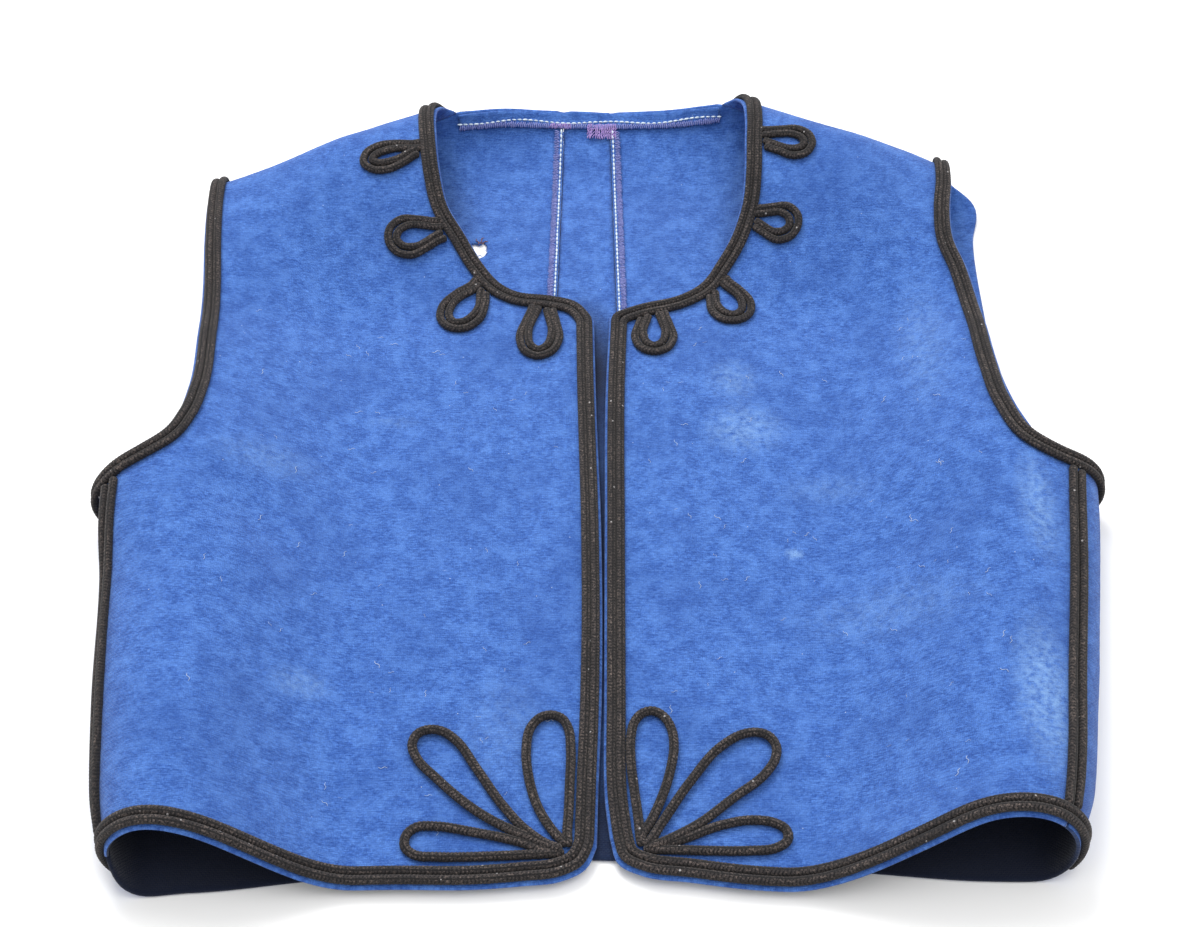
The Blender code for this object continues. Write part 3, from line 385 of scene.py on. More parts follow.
def section(reach, crest, inset, taper, nose, tuck, start):
    """The cloth's line from the front's middle out over a fold and back to the back's middle."""
    rise, turn = np.linspace(0, 1, 60), np.linspace(0, np.pi / 2, 40)[1:]
    out = [
        np.linspace(0, reach - taper, 30)[:-1],
        reach - taper + rise * (taper - inset),
        reach - inset + inset * np.sin(turn),
        reach - tuck + tuck * np.cos(turn),
        np.linspace(reach - tuck, start, 40)[1:],
    ]
    up = [
        np.full(29, FRONT_LEVEL),
        FRONT_LEVEL + (crest - FRONT_LEVEL) * rise**2 * (3 - 2 * rise),
        nose + (crest - nose) * np.cos(turn),
        nose - (nose - BACK_LEVEL) * np.sin(turn),
        np.full(39, BACK_LEVEL),
    ]
    out, up = np.concatenate(out), np.concatenate(up)
    along = np.concatenate([[0], np.cumsum(np.hypot(np.diff(out), np.diff(up)))])
    return along, out, up, along[29 + 59 + 39]


class Folds:
    """A family of folds: where a distance along the cloth comes to, at each station."""

    STEP, REACH = 3 * MM, 190            # spacing of the grids, and their points along the cloth

    def __init__(self, table, first, last, start):
        self.first = first
        self.stations = np.arange(first, last + self.STEP, self.STEP)
        columns = [between(table, self.stations, k) for k in range(1, 7)]
        at = np.arange(self.REACH) * self.STEP
        front, back, measures = [], [], []
        for values in zip(*columns):
            along, out, up, ridge = section(*values, start)
            lines = np.stack([out, up], axis=1)
            front.append([[np.interp(a, along, line) for line in lines.T] for a in at])
            back.append([[np.interp(along[-1] - a, along, line) for line in lines.T] for a in at])
            measures.append([ridge, along[-1]])
        self.grids, self.measures = {"front": np.array(front), "back": np.array(back)}, np.array(measures)

    def at(self, face, station, along):
        """Distance out and height of a face's cloth, smooth in both directions."""
        grid = self.grids[face]
        place = [(station - self.first) / self.STEP, along / self.STEP]
        place = [np.clip(p, 0, n - 1.001) for p, n in zip(place, grid.shape)]
        cell = [np.floor(p).astype(int) for p in place]
        weights = [cubic_weights(p - c) for p, c in zip(place, cell)]
        total = 0
        for a in range(4):
            i = np.clip(cell[0] + a - 1, 0, grid.shape[0] - 1)
            for b in range(4):
                j = np.clip(cell[1] + b - 1, 0, grid.shape[1] - 1)
                total = total + (weights[0][:, a] * weights[1][:, b])[:, None] * grid[i, j]
        return total

    def ridge(self, station):
        """Distance along the cloth to the fold's outermost point, from the front's middle."""
        return np.interp(station, self.stations, self.measures[:, 0])

    def length(self, station):
        """Distance along the cloth from the front's middle to the back's."""
        return np.interp(station, self.stations, self.measures[:, 1])


def cubic_weights(t):
    return np.stack(
        [
            -0.5 * t + t**2 - 0.5 * t**3,
            1 - 2.5 * t**2 + 1.5 * t**3,
            0.5 * t + 2 * t**2 - 1.5 * t**3,
            -0.5 * t**2 + 0.5 * t**3,
        ],
        axis=1,
    )


SIDE = {side: Folds(table, *SIDE_SPAN, side * BACK_MIDDLE) for side, table in SIDE_FOLDS.items()}
SHOULDER = {side: Folds(table, *SHOULDER_SPAN, 0.0) for side, table in SHOULDER_FOLDS.items()}


def folded(across, up, face, start, level):
    """Middle of a face's cloth, measured from start, that lies level between the folds."""
    found = np.zeros((len(across), 3))
    for side in (RIGHT, LEFT):
        here = np.sign(across + 1e-12) == side
        a, b = abs(across[here]), up[here]
        over = SHOULDER[side].at(face, abs(start + side * a), np.maximum(b, 0))
        y = np.where(b < 0, b, over[:, 0])
        round_side = SIDE[side].at(face, y, a)
        height = round_side[:, 1] + over[:, 1] - level
        found[here] = np.stack([side * round_side[:, 0], y, height], axis=1)
    return found


def front_cloth(across, up):
    """Middle of the front's cloth. Past a fold it runs on round it, to the back."""
    return folded(across, up, "front", 0.0, FRONT_LEVEL)


def back_cloth(across, up):
    """Middle of the back's cloth."""
    return folded(across, up, "back", BACK_MIDDLE, BACK_LEVEL)


def inside(points, outline):
    """Whether each point lies inside a closed outline."""
    x, y = points.T
    found = np.zeros(len(points), bool)
    for (x0, y0), (x1, y1) in zip(outline, np.roll(outline, -1, axis=0)):
        if y0 != y1:
            found ^= ((y0 > y) != (y1 > y)) & (x < (x1 - x0) * (y - y0) / (y1 - y0) + x0)
    return found


def away(points, line):
    """Distance of each point from the nearest point of a line."""
    return np.sqrt(((points[:, None] - line[None]) ** 2).sum(axis=2)).min(axis=1)


def smoothed(path, passes=3):
    path = path.copy()
    for _ in range(passes):
        path[1:-1] = (path[:-2] + 2 * path[1:-1] + path[2:]) / 4
    return path


def evenly(path, step=FINE):
    along = np.concatenate([[0], np.cumsum(np.hypot(*np.diff(path, axis=0).T))])
    at = np.linspace(0, along[-1], max(int(along[-1] / step), 2) + 1)
    return np.stack([np.interp(at, along, column) for column in path.T], axis=1)


def inset(edge, distance, turn):
    """A line beside an edge, on its left where turn is 1, on its right where it is -1."""
    tangent = np.gradient(edge, axis=0)
    tangent /= np.linalg.norm(tangent, axis=1)[:, None]
    moved = edge + turn * np.reshape(distance, (-1, 1)) * np.stack([-tangent[:, 1], tangent[:, 0]], axis=1)
    moved = moved[away(moved, edge) > distance - 0.1 * MM]
    return smoothed(evenly(moved), 6)


def nestled(path, neighbours, closest=CORD_PITCH):
    """The path, moved aside where it would touch cords laid before it, and cut short where it can't be."""
    moved, start = path.copy(), path
    for _ in range(12):
        for cord in neighbours:
            gap = moved[:, None] - cord[None]
            far = np.linalg.norm(gap, axis=2)
            nearest = far.argmin(axis=1)
            rows = np.arange(len(moved))
            short = np.maximum(closest + 0.1 * MM - far[rows, nearest], 0)
            away_from = gap[rows, nearest] / np.maximum(far[rows, nearest], 1e-6)[:, None]
            moved = moved + short[:, None] * away_from
    free = np.linalg.norm(moved - start, axis=1) < LOOP_NUDGE
    run, was = np.gradient(moved, axis=0), np.gradient(start, axis=0)
    free &= np.sum(run * was, axis=1) > STRAIGHT * np.linalg.norm(run, axis=1) * np.linalg.norm(was, axis=1)
    for cord in neighbours:
        free &= away(moved, cord) > closest - 0.05 * MM
    middle = len(moved) // 2
    first, last = middle, middle
    while first > 0 and free[first - 1]:
        first -= 1
    while last < len(moved) - 1 and free[last + 1]:
        last += 1
    return evenly(smoothed(moved[first : last + 1], 2))


def reaching(path, cords):
    """The path with its ends cut where they pass under other cords."""
    clear = np.all([away(path, cord) > TUCKED for cord in cords], axis=0)
    middle = len(path) // 2
    first = middle - int(np.argmax(~clear[middle::-1])) if not clear[:middle].all() else 0
    last = middle + int(np.argmax(~clear[middle:])) if not clear[middle:].all() else len(path)
    return path[first:last]


def loop(row, form, inwards=0.0):
    """A cord's line out round a loop and back."""
    base, tip, width, foot = np.array(row[0:2]), np.array(row[2:4]), row[4], row[5]
    axis = tip - base
    length = np.hypot(*axis)
    axis = axis / length
    across = np.array([-axis[1], axis[0]])
    pressed = 0.5 * PRESSED / MM
    foot = pressed if inwards else max(pressed, min(foot / 2 - CORD_RADIUS / MM, pressed + LEG_PITCH))
    inwards = inwards / MM + CORD_RADIUS / MM
    half = [(-LEG_PAST, foot), (0, foot), (LEG_CLOSED * (length - inwards), foot + 0.3)]
    half += [((length - inwards) * a, (width - 2 * inwards) * w) for a, w in form]
    line = half + [(length - inwards, 0)] + [(a, -w) for a, w in reversed(half)]
    return through([base + a * axis + w * across for a, w in line])


def seam_across(side, up):
    """Distance across to the side seam, at a height."""
    return between([(v, u) for u, v in SIDE_SEAM[side]], up)


def stations(first, last, step):
    """Values on a fixed step between two ends, so that both sides of a seam bend at the same places."""
    inner = np.arange(-300, 400) * step
    low, high = sorted((first, last))
    inner = inner[(inner > low + step / 3) & (inner < high - step / 3)]
    return np.concatenate([[low], inner, [high]])[:: 1 if first < last else -1]


def seam_up(side, across):
    """Distance up to the shoulder seam, at a distance across."""
    return SHOULDER[side].ridge(across) + PAST_SHOULDER


def on_front(side, line):
    """The part of an edge that lies on the front, ending at the seams."""
    a, b = line.T
    return line[(a < seam_across(side, b) - SEAM_GAP / 2) & (b < seam_up(side, a) - SEAM_GAP / 2)]


def mirrored(side, line):
    return line * np.array([side, 1])


def crossing(side, line, seam):
    """Where a front's edge crosses the side or the shoulder seam, as a point of the back."""
    a, b = line.T
    past = a - seam_across(side, b) if seam == "side" else b - seam_up(side, a)
    k = int(np.argmax(np.diff(np.sign(past)) != 0))
    a, b = line[k]
    if seam == "side":
        return SIDE[side].length(b) - a, b
    return a - side * BACK_MIDDLE, SHOULDER[side].length(a) - b


def back_side_seam(side, first, last):
    b = stations(first, last, FINE)
    return np.stack([SIDE[side].length(b) - seam_across(side, b) - SEAM_GAP / 2, b], axis=1)


def back_shoulder_seam(side, first, last):
    near = stations(first + side * BACK_MIDDLE, last + side * BACK_MIDDLE, FINE)
    up = SHOULDER[side].length(near) - seam_up(side, near) - SEAM_GAP / 2
    return np.stack([near - side * BACK_MIDDLE, up], axis=1)


def relief(points, creases, seed, inwards_only):
    """How far cloth stands out from its smooth form: slow unevenness and its creases."""
    rng = np.random.default_rng(seed)
    rise = np.zeros(len(points))
    for _ in range(WAVES):
        angle, phase = rng.uniform(0, 2 * np.pi, 2)
        length = rng.uniform(*WAVE_LENGTH)
        rise += np.sin(points @ [np.cos(angle), np.sin(angle)] * 2 * np.pi / length + phase)
    rise *= UNEVEN / np.sqrt(WAVES)
    for row in creases:
        start, end, wide, deep = np.array(row[0:2]) * MM, np.array(row[2:4]) * MM, row[4] * MM, row[5] * MM
        run = end - start
        along = np.clip((points - start) @ run / (run @ run), 0, 1)
        far = np.linalg.norm(points - start - along[:, None] * run, axis=1)
        rise -= deep * np.exp(-((far / wide) ** 2)) * (0.35 + 0.65 * np.sin(np.pi * along))
    return -abs(rise) if inwards_only else rise


class Cloth:
    """One laid cloth, front or back, with its creases."""

    def __init__(self, smooth, turn, creases, seed):
        self.smooth, self.turn, self.creases, self.seed = smooth, turn, creases, seed

    def normal(self, place, points):
        e = 0.5 * MM
        a, b = points.T
        right = place(np.stack([a + e, b], axis=1)) - place(np.stack([a - e, b], axis=1))
        top = place(np.stack([a, b + e], axis=1)) - place(np.stack([a, b - e], axis=1))
        normal = np.cross(right, top) * self.turn
        return normal / np.linalg.norm(normal, axis=1)[:, None]

    def middle(self, points):
        smooth = self.smooth(*points.T)
        rise = relief(points, self.creases, self.seed, self.turn < 0)
        return smooth + rise[:, None] * self.normal(lambda p: self.smooth(*p.T), points)

    def laid(self, points, lift=0.0):
        """Flat points in space, moved outward by lift."""
        return self.middle(points) + np.reshape(lift, (-1, 1)) * self.outward(points)

    def outward(self, points):
        return self.normal(self.middle, points)


def add_mesh(name, points, faces, uv, material, inside_material=None, inner=range(0)):
    """A smooth mesh with its flat place as UV map. The faces of inner take the inside material."""
    mesh = bpy.data.meshes.new(name)
    mesh.from_pydata(points.tolist(), [], faces)
    layer = mesh.uv_layers.new(name="Flat")
    corners = np.empty(len(mesh.loops), np.int32)
    mesh.loops.foreach_get("vertex_index", corners)
    layer.data.foreach_set("uv", uv[corners].astype(np.float32).ravel())
    mesh.shade_smooth()
    mesh.materials.append(material)
    if inside_material is not None:
        mesh.materials.append(inside_material)
        index = np.zeros(len(faces), np.int32)
        index[inner.start : inner.stop] = 1
        mesh.polygons.foreach_set("material_index", index)
    obj = bpy.data.objects.new(name, mesh)
    bpy.context.collection.objects.link(obj)
    return obj


def flat_area(outline):
    x, y = outline.T
    return abs(np.sum(x * np.roll(y, -1) - y * np.roll(x, -1))) / 2


def shell(name, cloth, pieces, material, inside_material=None, wall=WALL, lift=0.0, hole=None,
          step=CLOTH_STEP):
    """A panel as a closed wall of fine cloth. pieces are (line, roundness of its edge), in order."""
    lines = [evenly(line, step) for line, _ in pieces]
    outline = np.concatenate([line[:-1] for line in lines])
    bulge = np.concatenate([np.full(len(line) - 1, round_) for line, (_, round_) in zip(lines, pieces)])
    edge = [outline] if hole is None else [outline, hole]
    low, high = outline.min(axis=0), outline.max(axis=0)
    grid = []
    for k, b in enumerate(np.arange(low[1], high[1], step * 0.87)):
        a = np.arange(low[0] + (k % 2) * step / 2, high[0], step)
        grid.append(np.stack([a, np.full(len(a), b)], axis=1))
    grid = np.concatenate(grid)
    grid = grid[inside(grid, outline)]
    grid = grid[nearest(grid, np.concatenate(edge)) > 0.6 * step]
    if hole is not None:
        grid = grid[~inside(grid, hole)]
    flat, loops = np.concatenate(edge + [grid]), []
    for first, ring in zip(np.cumsum([0] + [len(ring) for ring in edge]), edge):
        loops += [(first + i, first + (i + 1) % len(ring)) for i in range(len(ring))]
    cut = delaunay_2d_cdt([tuple(p / MM) for p in flat], loops, [], 0, 1e-5)
    flat, faces = np.array([tuple(p) for p in cut[0]]) * MM, np.array([list(f) for f in cut[2]])
    centre = flat[faces].mean(axis=1)
    wanted = inside(centre, outline)
    if hole is not None:
        wanted &= ~inside(centre, hole)
    faces = faces[wanted]
    a, b, c = (flat[faces[:, k]] for k in range(3))
    turned = (b - a)[:, 0] * (c - a)[:, 1] - (b - a)[:, 1] * (c - a)[:, 0] < 0
    faces[turned] = faces[turned][:, ::-1]
    if cloth.turn < 0:
        faces = faces[:, ::-1]
    ends = np.concatenate([faces[:, [0, 1]], faces[:, [1, 2]], faces[:, [2, 0]]])
    there = {tuple(e) for e in ends.tolist()}
    rim = np.array([e for e in there if e[::-1] not in there])
    n = len(flat)
    out = rim_direction(flat, rim, cloth.turn)
    at_rim = np.unique(rim)
    round_ = np.zeros(n)
    round_[at_rim] = WALL / 3
    round_[: len(bulge)] = bulge
    top = cloth.laid(flat, lift + wall / 2)
    bottom = cloth.laid(flat, lift - wall / 2)
    beyond = cloth.laid(flat[at_rim] + out[at_rim] * round_[at_rim][:, None], lift)
    place = np.full(n, -1)
    place[at_rim] = 2 * n + np.arange(len(at_rim))
    points = np.concatenate([top, bottom, beyond])
    solid = faces.tolist() + (faces[:, ::-1] + n).tolist()
    solid += [(place[j], place[i], i + n, j + n) for i, j in rim.tolist()]
    solid += [(j, i, place[i], place[j]) for i, j in rim.tolist()]
    # the inner faces take the inside material, which carries painted shade on the fronts and the back; so do
    # the lower half of a front's rim and all of the back's rim
    inner = range(len(faces), 2 * len(faces) + len(rim) * (1 if cloth.turn > 0 else 2))
    uv = np.concatenate([flat, flat, flat[at_rim]])
    used = np.unique(np.concatenate([np.ravel(f) for f in solid]))
    order = np.full(len(points), -1)
    order[used] = np.arange(len(used))
    obj = add_mesh(
        name, points[used], [tuple(order[list(f)].tolist()) for f in solid], uv[used], material,
        inside_material, inner,
    )
    size = high - low
    area = flat_area(outline) - (0 if hole is None else flat_area(hole))
    return obj, tuple(size.tolist()), float(area)


def nearest(points, line, block=2000):
    """Distance of each of many points from the nearest point of a line."""
    parts = [points[i : i + block] for i in range(0, len(points), block)]
    return np.concatenate([away(part, line) for part in parts])


def rim_direction(flat, rim, turn):
    """On each rim point of a flat mesh, the unit direction out of it."""
    out = np.zeros_like(flat)
    run = flat[rim[:, 1]] - flat[rim[:, 0]]
    run /= np.linalg.norm(run, axis=1)[:, None]
    side = np.stack([run[:, 1], -run[:, 0]], axis=1) * turn
    for k in (0, 1):
        np.add.at(out, rim[:, k], side)
    return out / np.maximum(np.linalg.norm(out, axis=1), 1e-9)[:, None]


def plait(name, cloth, path, raised=0.0):
    """A plaited cord sewn along a path, as far as the part's own cord goes."""
    beneath = CORD_RADIUS * np.cos(np.pi / CORD_SIDES)
    height = WALL / 2 + CORD_SEAT + beneath
    path = path[span_above(cloth.laid(path, height), CORD_LOWEST)]
    middle = cloth.laid(path, height - PLAIT_SUNK + raised)
    along = np.concatenate([[0], np.cumsum(np.linalg.norm(np.diff(middle, axis=0), axis=1))])
    at = np.linspace(0, along[-1], int(along[-1] / PLAIT_STEP) + 1)
    path = np.stack([np.interp(at, along, column) for column in path.T], axis=1)
    middle = np.stack([np.interp(at, along, column) for column in middle.T], axis=1)
    tangent = np.gradient(middle, axis=0)
    tangent /= np.linalg.norm(tangent, axis=1)[:, None]
    up = cloth.outward(path)
    side = np.cross(tangent, up)
    side /= np.linalg.norm(side, axis=1)[:, None]
    up = np.cross(side, tangent)
    around = np.arange(PLAIT_SIDES) / PLAIT_SIDES
    strands = abs((PLAIT_COLUMNS * around) % 1 - 0.5)
    turn = at[:, None] / PLAIT_PITCH + PLAIT_LEAN * strands[None]
    relief_ = PLAIT_RELIEF * (abs(np.sin(np.pi * turn)) - 0.6)
    round_end = np.minimum(at, at[-1] - at)[:, None]
    radius = PLAIT_RADIUS * np.sqrt(np.clip(1 - (1 - round_end / END_ROUND).clip(0) ** 2, 0.02, 1)) + relief_
    angle = np.pi / 2 + 2 * np.pi * around
    across, above = np.cos(angle)[None, :, None], PLAIT_FLAT * np.sin(angle)[None, :, None]
    ring = across * side[:, None] + above * up[:, None]
    points = (middle[:, None] + radius[:, :, None] * ring).reshape(-1, 3)
    n, rings = PLAIT_SIDES, len(middle)
    i, k = np.meshgrid(np.arange(rings - 1), np.arange(n), indexing="ij")
    a, b = i * n + k, i * n + (k + 1) % n
    faces = np.stack([a + n, b + n, b, a], axis=-1).reshape(-1, 4).tolist()
    faces += [tuple(range(n)), tuple((rings - 1) * n + k for k in reversed(range(n)))]
    uv = np.stack([np.repeat(at, n), np.tile(around, rings)], axis=1)
    obj = add_mesh(name, points, faces, uv, MATERIALS["plaited cord"])
    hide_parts(name)
    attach(obj, "root")
    return path


def span_above(points, lowest):
    clear = points[:, 2] > lowest
    return slice(int(np.argmax(clear)), len(clear) - int(np.argmax(clear[::-1])))


def add(tree, kind, inputs=None, **settings):
    """A node, with its settings, and each input linked or set."""
    node = tree.nodes.new(kind)
    for key, value in settings.items():
        setattr(node, key, value)
    for socket, value in (inputs or {}).items():
        if isinstance(value, bpy.types.NodeSocket):
            tree.links.new(value, node.inputs[socket])
        else:
            node.inputs[socket].default_value = value
    return node


def maths(tree, operation, *values):
    return add(tree, "ShaderNodeMath", dict(enumerate(values)), operation=operation).outputs[0]


def stretched(tree, vector, scale):
    return add(tree, "ShaderNodeVectorMath", {0: vector, 1: scale}, operation="MULTIPLY").outputs[0]


def noise(tree, vector, scale, detail=2.0, roughness=0.5):
    given = {"Vector": vector, "Scale": scale, "Detail": detail, "Roughness": roughness}
    made = add(tree, "ShaderNodeTexNoise", given)
    return made.outputs["Fac"]


def ramp(tree, value, low, high):
    made = add(tree, "ShaderNodeMapRange", {"Value": value, "From Min": low, "From Max": high}, clamp=True)
    return made.outputs["Result"]


def mixed(tree, factor, a, b):
    return add(tree, "ShaderNodeMix", {0: factor, 6: a, 7: b}, data_type="RGBA").outputs[2]


def group(name, inputs, outputs):
    """A shader node group with its named inputs and outputs: (tree, input node, output node)."""
    tree = bpy.data.node_groups.new(name, "ShaderNodeTree")
    for socket, kind, value in inputs:
        made = tree.interface.new_socket(socket, in_out="INPUT", socket_type=kind)
        if value is not None:
            made.default_value = value
    for socket, kind in outputs:
        tree.interface.new_socket(socket, in_out="OUTPUT", socket_type=kind)
    return tree, tree.nodes.new("NodeGroupInput"), tree.nodes.new("NodeGroupOutput")


def weave_group():
    """Plain weave of uneven threads: a height, and how much of the thread there is lint."""
    tree, given, gives = group(
        "Weave",
        [("Vector", "NodeSocketVector", None), ("Thread", "NodeSocketFloat", 0.8)],
        [("Height", "NodeSocketFloat"), ("Slub", "NodeSocketFloat")],
    )
    vector, thread = given.outputs["Vector"], given.outputs["Thread"]
    wander = add(tree, "ShaderNodeTexNoise", {"Vector": vector, "Scale": 0.35, "Detail": 1.0})
    given_moves = {0: wander.outputs["Color"], 1: (1.1, 1.1, 0), 2: vector}
    moved = add(tree, "ShaderNodeVectorMath", given_moves, operation="MULTIPLY_ADD")
    apart = add(tree, "ShaderNodeSeparateXYZ", {0: moved.outputs[0]})
    turns = [maths(tree, "MULTIPLY", maths(tree, "DIVIDE", apart.outputs[k], thread), np.pi) for k in (0, 1)]
    waves = [maths(tree, "SINE", turn) for turn in turns]
    over = maths(tree, "GREATER_THAN", maths(tree, "MULTIPLY", *waves), 0.0)
    warp, weft = (maths(tree, "ABSOLUTE", wave) for wave in waves)
    height = maths(tree, "ADD", maths(tree, "MULTIPLY", warp, over),
                   maths(tree, "MULTIPLY", weft, maths(tree, "SUBTRACT", 1.0, over)))
    slub = noise(tree, stretched(tree, vector, (0.16, 1.5, 1.0)), 1.0, 3.0, 0.6)
    tree.links.new(maths(tree, "ADD", height, maths(tree, "MULTIPLY", slub, 0.8)), gives.inputs["Height"])
    tree.links.new(slub, gives.inputs["Slub"])
    return tree


def lint_group():
    """Specks of pale fluff: a mask."""
    tree, given, gives = group(
        "Lint",
        [
            ("Vector", "NodeSocketVector", None), ("Spacing", "NodeSocketFloat", 5.0),
            ("Size", "NodeSocketFloat", 0.05),
        ],
        [("Mask", "NodeSocketFloat")],
    )
    scale = maths(tree, "DIVIDE", 1.0, given.outputs["Spacing"])
    where = {"Vector": given.outputs["Vector"], "Scale": scale}
    cells = add(tree, "ShaderNodeTexVoronoi", where, feature="F1")
    chance = add(tree, "ShaderNodeSeparateColor", {0: cells.outputs["Color"]}).outputs[0]
    few = maths(tree, "GREATER_THAN", chance, 0.6)
    speck = maths(tree, "LESS_THAN", cells.outputs["Distance"], given.outputs["Size"])
    tree.links.new(maths(tree, "MULTIPLY", few, speck), gives.inputs["Mask"])
    return tree


def grouped(tree, shared, inputs):
    return add(tree, "ShaderNodeGroup", inputs, node_tree=shared).outputs


def finish(name, roughness, sheen=0.0):
    """A new material: (material, its tree, its Principled shader)."""
    material = bpy.data.materials.new(name)
    material.use_nodes = True
    shader = material.node_tree.nodes["Principled BSDF"]
    shader.inputs["Roughness"].default_value = roughness
    shader.inputs["Specular IOR Level"].default_value = 0.2
    shader.inputs["Sheen Weight"].default_value = sheen
    shader.inputs["Sheen Roughness"].default_value = 0.6
    return material, material.node_tree, shader


def bumped(tree, shader, height, strength, distance):
    made = add(tree, "ShaderNodeBump", {"Strength": strength, "Distance": distance, "Height": height})
    tree.links.new(made.outputs[0], shader.inputs["Normal"])


def flat_mm(tree):
    """The piece's flat place in mm, from its UV map."""
    return stretched(tree, add(tree, "ShaderNodeUVMap", uv_map="Flat").outputs[0], (1 / MM, 1 / MM, 0))


def patch(tree, place, across, up, wide, tall):
    """A soft oval on the flat cloth: a mask."""
    moved = {0: place, 1: (-across, -up, 0)}
    from_middle = add(tree, "ShaderNodeVectorMath", moved, operation="ADD").outputs[0]
    scaled = stretched(tree, from_middle, (1 / wide, 1 / tall, 0))
    far = add(tree, "ShaderNodeVectorMath", {0: scaled}, operation="LENGTH")
    return ramp(tree, far.outputs["Value"], 1.0, 0.3)


def blue_cloth(name, weave, lint, wear=(), shade=()):
    """Blue woven cloth. wear is a table of pale, worn patches, and shade a table of painted shade, dark
    patches where the cloth lies in the dark; both in mm on the flat cloth.
    """
    material, tree, shader = finish(name, 0.92, 0.12)
    place = flat_mm(tree)
    woven = grouped(tree, weave, {"Vector": place, "Thread": THREAD})
    fibre = noise(tree, stretched(tree, place, (0.50, 0.95, 1)), 1.0, 3.0, 0.7)
    weft = noise(tree, stretched(tree, place, (0.4, 2.1, 1)), 1.0, 1.5)
    warp = noise(tree, stretched(tree, place, (1.9, 0.55, 1)), 1.0, 1.5)
    dark_slub = noise(tree, stretched(tree, place, (0.10, 0.85, 1)), 1.0, 2.0, 0.6)
    patches = noise(tree, place, 0.12, 4.0, 0.62)
    broad = noise(tree, place, 0.022, 2.0)
    colour = mixed(tree, ramp(tree, fibre, 0.38, 0.64), BLUE["deep"], BLUE["mid"])
    layers = [
        # pattern, its values where the tone starts and is full, strength, tone
        (woven["Slub"], 0.46, 0.66, 0.45, "light"),
        (weft, 0.52, 0.66, 0.4, "light"),
        (warp, 0.50, 0.36, 0.5, "deep"),
        (weft, 0.46, 0.34, 0.4, "deep"),
        (dark_slub, 0.56, 0.72, 0.45, "deep"),
        (patches, 0.45, 0.68, 0.42, "light"),
        (patches, 0.5, 0.3, 0.35, "deep"),
        (broad, 0.52, 0.32, 0.35, "deep"),
        # painted shade: darker where the weave is low, in the hollows between its threads
        (woven["Height"], 0.8, 0.3, 0.3, "gap"),
    ]
    for value, none, full, strength, tone in layers:
        share = maths(tree, "MULTIPLY", ramp(tree, value, none, full), strength)
        colour = mixed(tree, share, colour, BLUE[tone])
    worn = noise(tree, place, 0.3, 5.0, 0.7)
    for across, up, wide, tall, strength in wear:
        oval = patch(tree, place, across, up, wide, tall)
        mask = maths(tree, "MULTIPLY", oval, ramp(tree, worn, 0.35, 0.65))
        colour = mixed(tree, maths(tree, "MULTIPLY", mask, strength), colour, BLUE["worn"])
    fluff = grouped(tree, lint, {"Vector": place, "Spacing": 7.0, "Size": 0.035})["Mask"]
    colour = mixed(tree, maths(tree, "MULTIPLY", fluff, 0.6), colour, BLUE["lint"])
    # painted shade: the cloth darkened towards the shade colour in each oval of the shade table
    for across, up, wide, tall, strength in shade:
        mask = patch(tree, place, across, up, wide, tall)
        colour = mixed(tree, maths(tree, "MULTIPLY", mask, strength), colour, BLUE["shade"])
    tree.links.new(colour, shader.inputs["Base Color"])
    bumped(tree, shader, woven["Height"], 0.55, 0.25 * MM)
    return material


def plaited_cord(name, lint):
    """Brown-black cord: its chevrons follow the plait of the mesh."""
    material, tree, shader = finish(name, 0.85, 0.08)
    route = add(tree, "ShaderNodeSeparateXYZ", {0: add(tree, "ShaderNodeUVMap", uv_map="Flat").outputs[0]})
    columns = maths(tree, "FRACT", maths(tree, "MULTIPLY", route.outputs[1], float(PLAIT_COLUMNS)))
    lean = maths(tree, "MULTIPLY", maths(tree, "ABSOLUTE", maths(tree, "SUBTRACT", columns, 0.5)), PLAIT_LEAN)
    turn = maths(tree, "ADD", maths(tree, "DIVIDE", route.outputs[0], PLAIT_PITCH), lean)
    strand = maths(tree, "ABSOLUTE", maths(tree, "SINE", maths(tree, "MULTIPLY", turn, np.pi)))
    threads = maths(tree, "SINE", maths(tree, "MULTIPLY", turn, 5 * np.pi))
    place = stretched(tree, add(tree, "ShaderNodeTexCoord").outputs["Object"], (1 / MM, 1 / MM, 1 / MM))
    speckle = noise(tree, place, 1.1, 3.0, 0.75)
    slow = noise(tree, place, 0.06, 2.0)
    # painted shade: the cord darkens between its strands, where the plait dips
    colour = mixed(tree, ramp(tree, strand, 0.25, 0.85), CORD["painted_shade_colour"], CORD["brown"])
    colour = mixed(tree, maths(tree, "MULTIPLY", ramp(tree, speckle, 0.52, 0.66), 0.95), colour, CORD["worn"])
    colour = mixed(tree, maths(tree, "MULTIPLY", ramp(tree, slow, 0.4, 0.65), 0.45), colour, CORD["black"])
    # painted shade: the cord's sides and underside darkened, its top left lighter
    top = maths(tree, "ABSOLUTE", maths(tree, "SUBTRACT", maths(tree, "FRACT", route.outputs[1]), 0.5))
    colour = mixed(tree, maths(tree, "MULTIPLY", ramp(tree, top, 0.42, 0.24), 0.75), colour, CORD["painted_shade_colour"])
    fluff = grouped(tree, lint, {"Vector": place, "Spacing": 5.0, "Size": 0.09})["Mask"]
    colour = mixed(tree, maths(tree, "MULTIPLY", fluff, 0.6), colour, CORD["lint"])
    tree.links.new(colour, shader.inputs["Base Color"])
    height = maths(tree, "ADD", strand, maths(tree, "MULTIPLY", threads, 0.2))
    bumped(tree, shader, height, 0.6, 0.2 * MM)
    return material


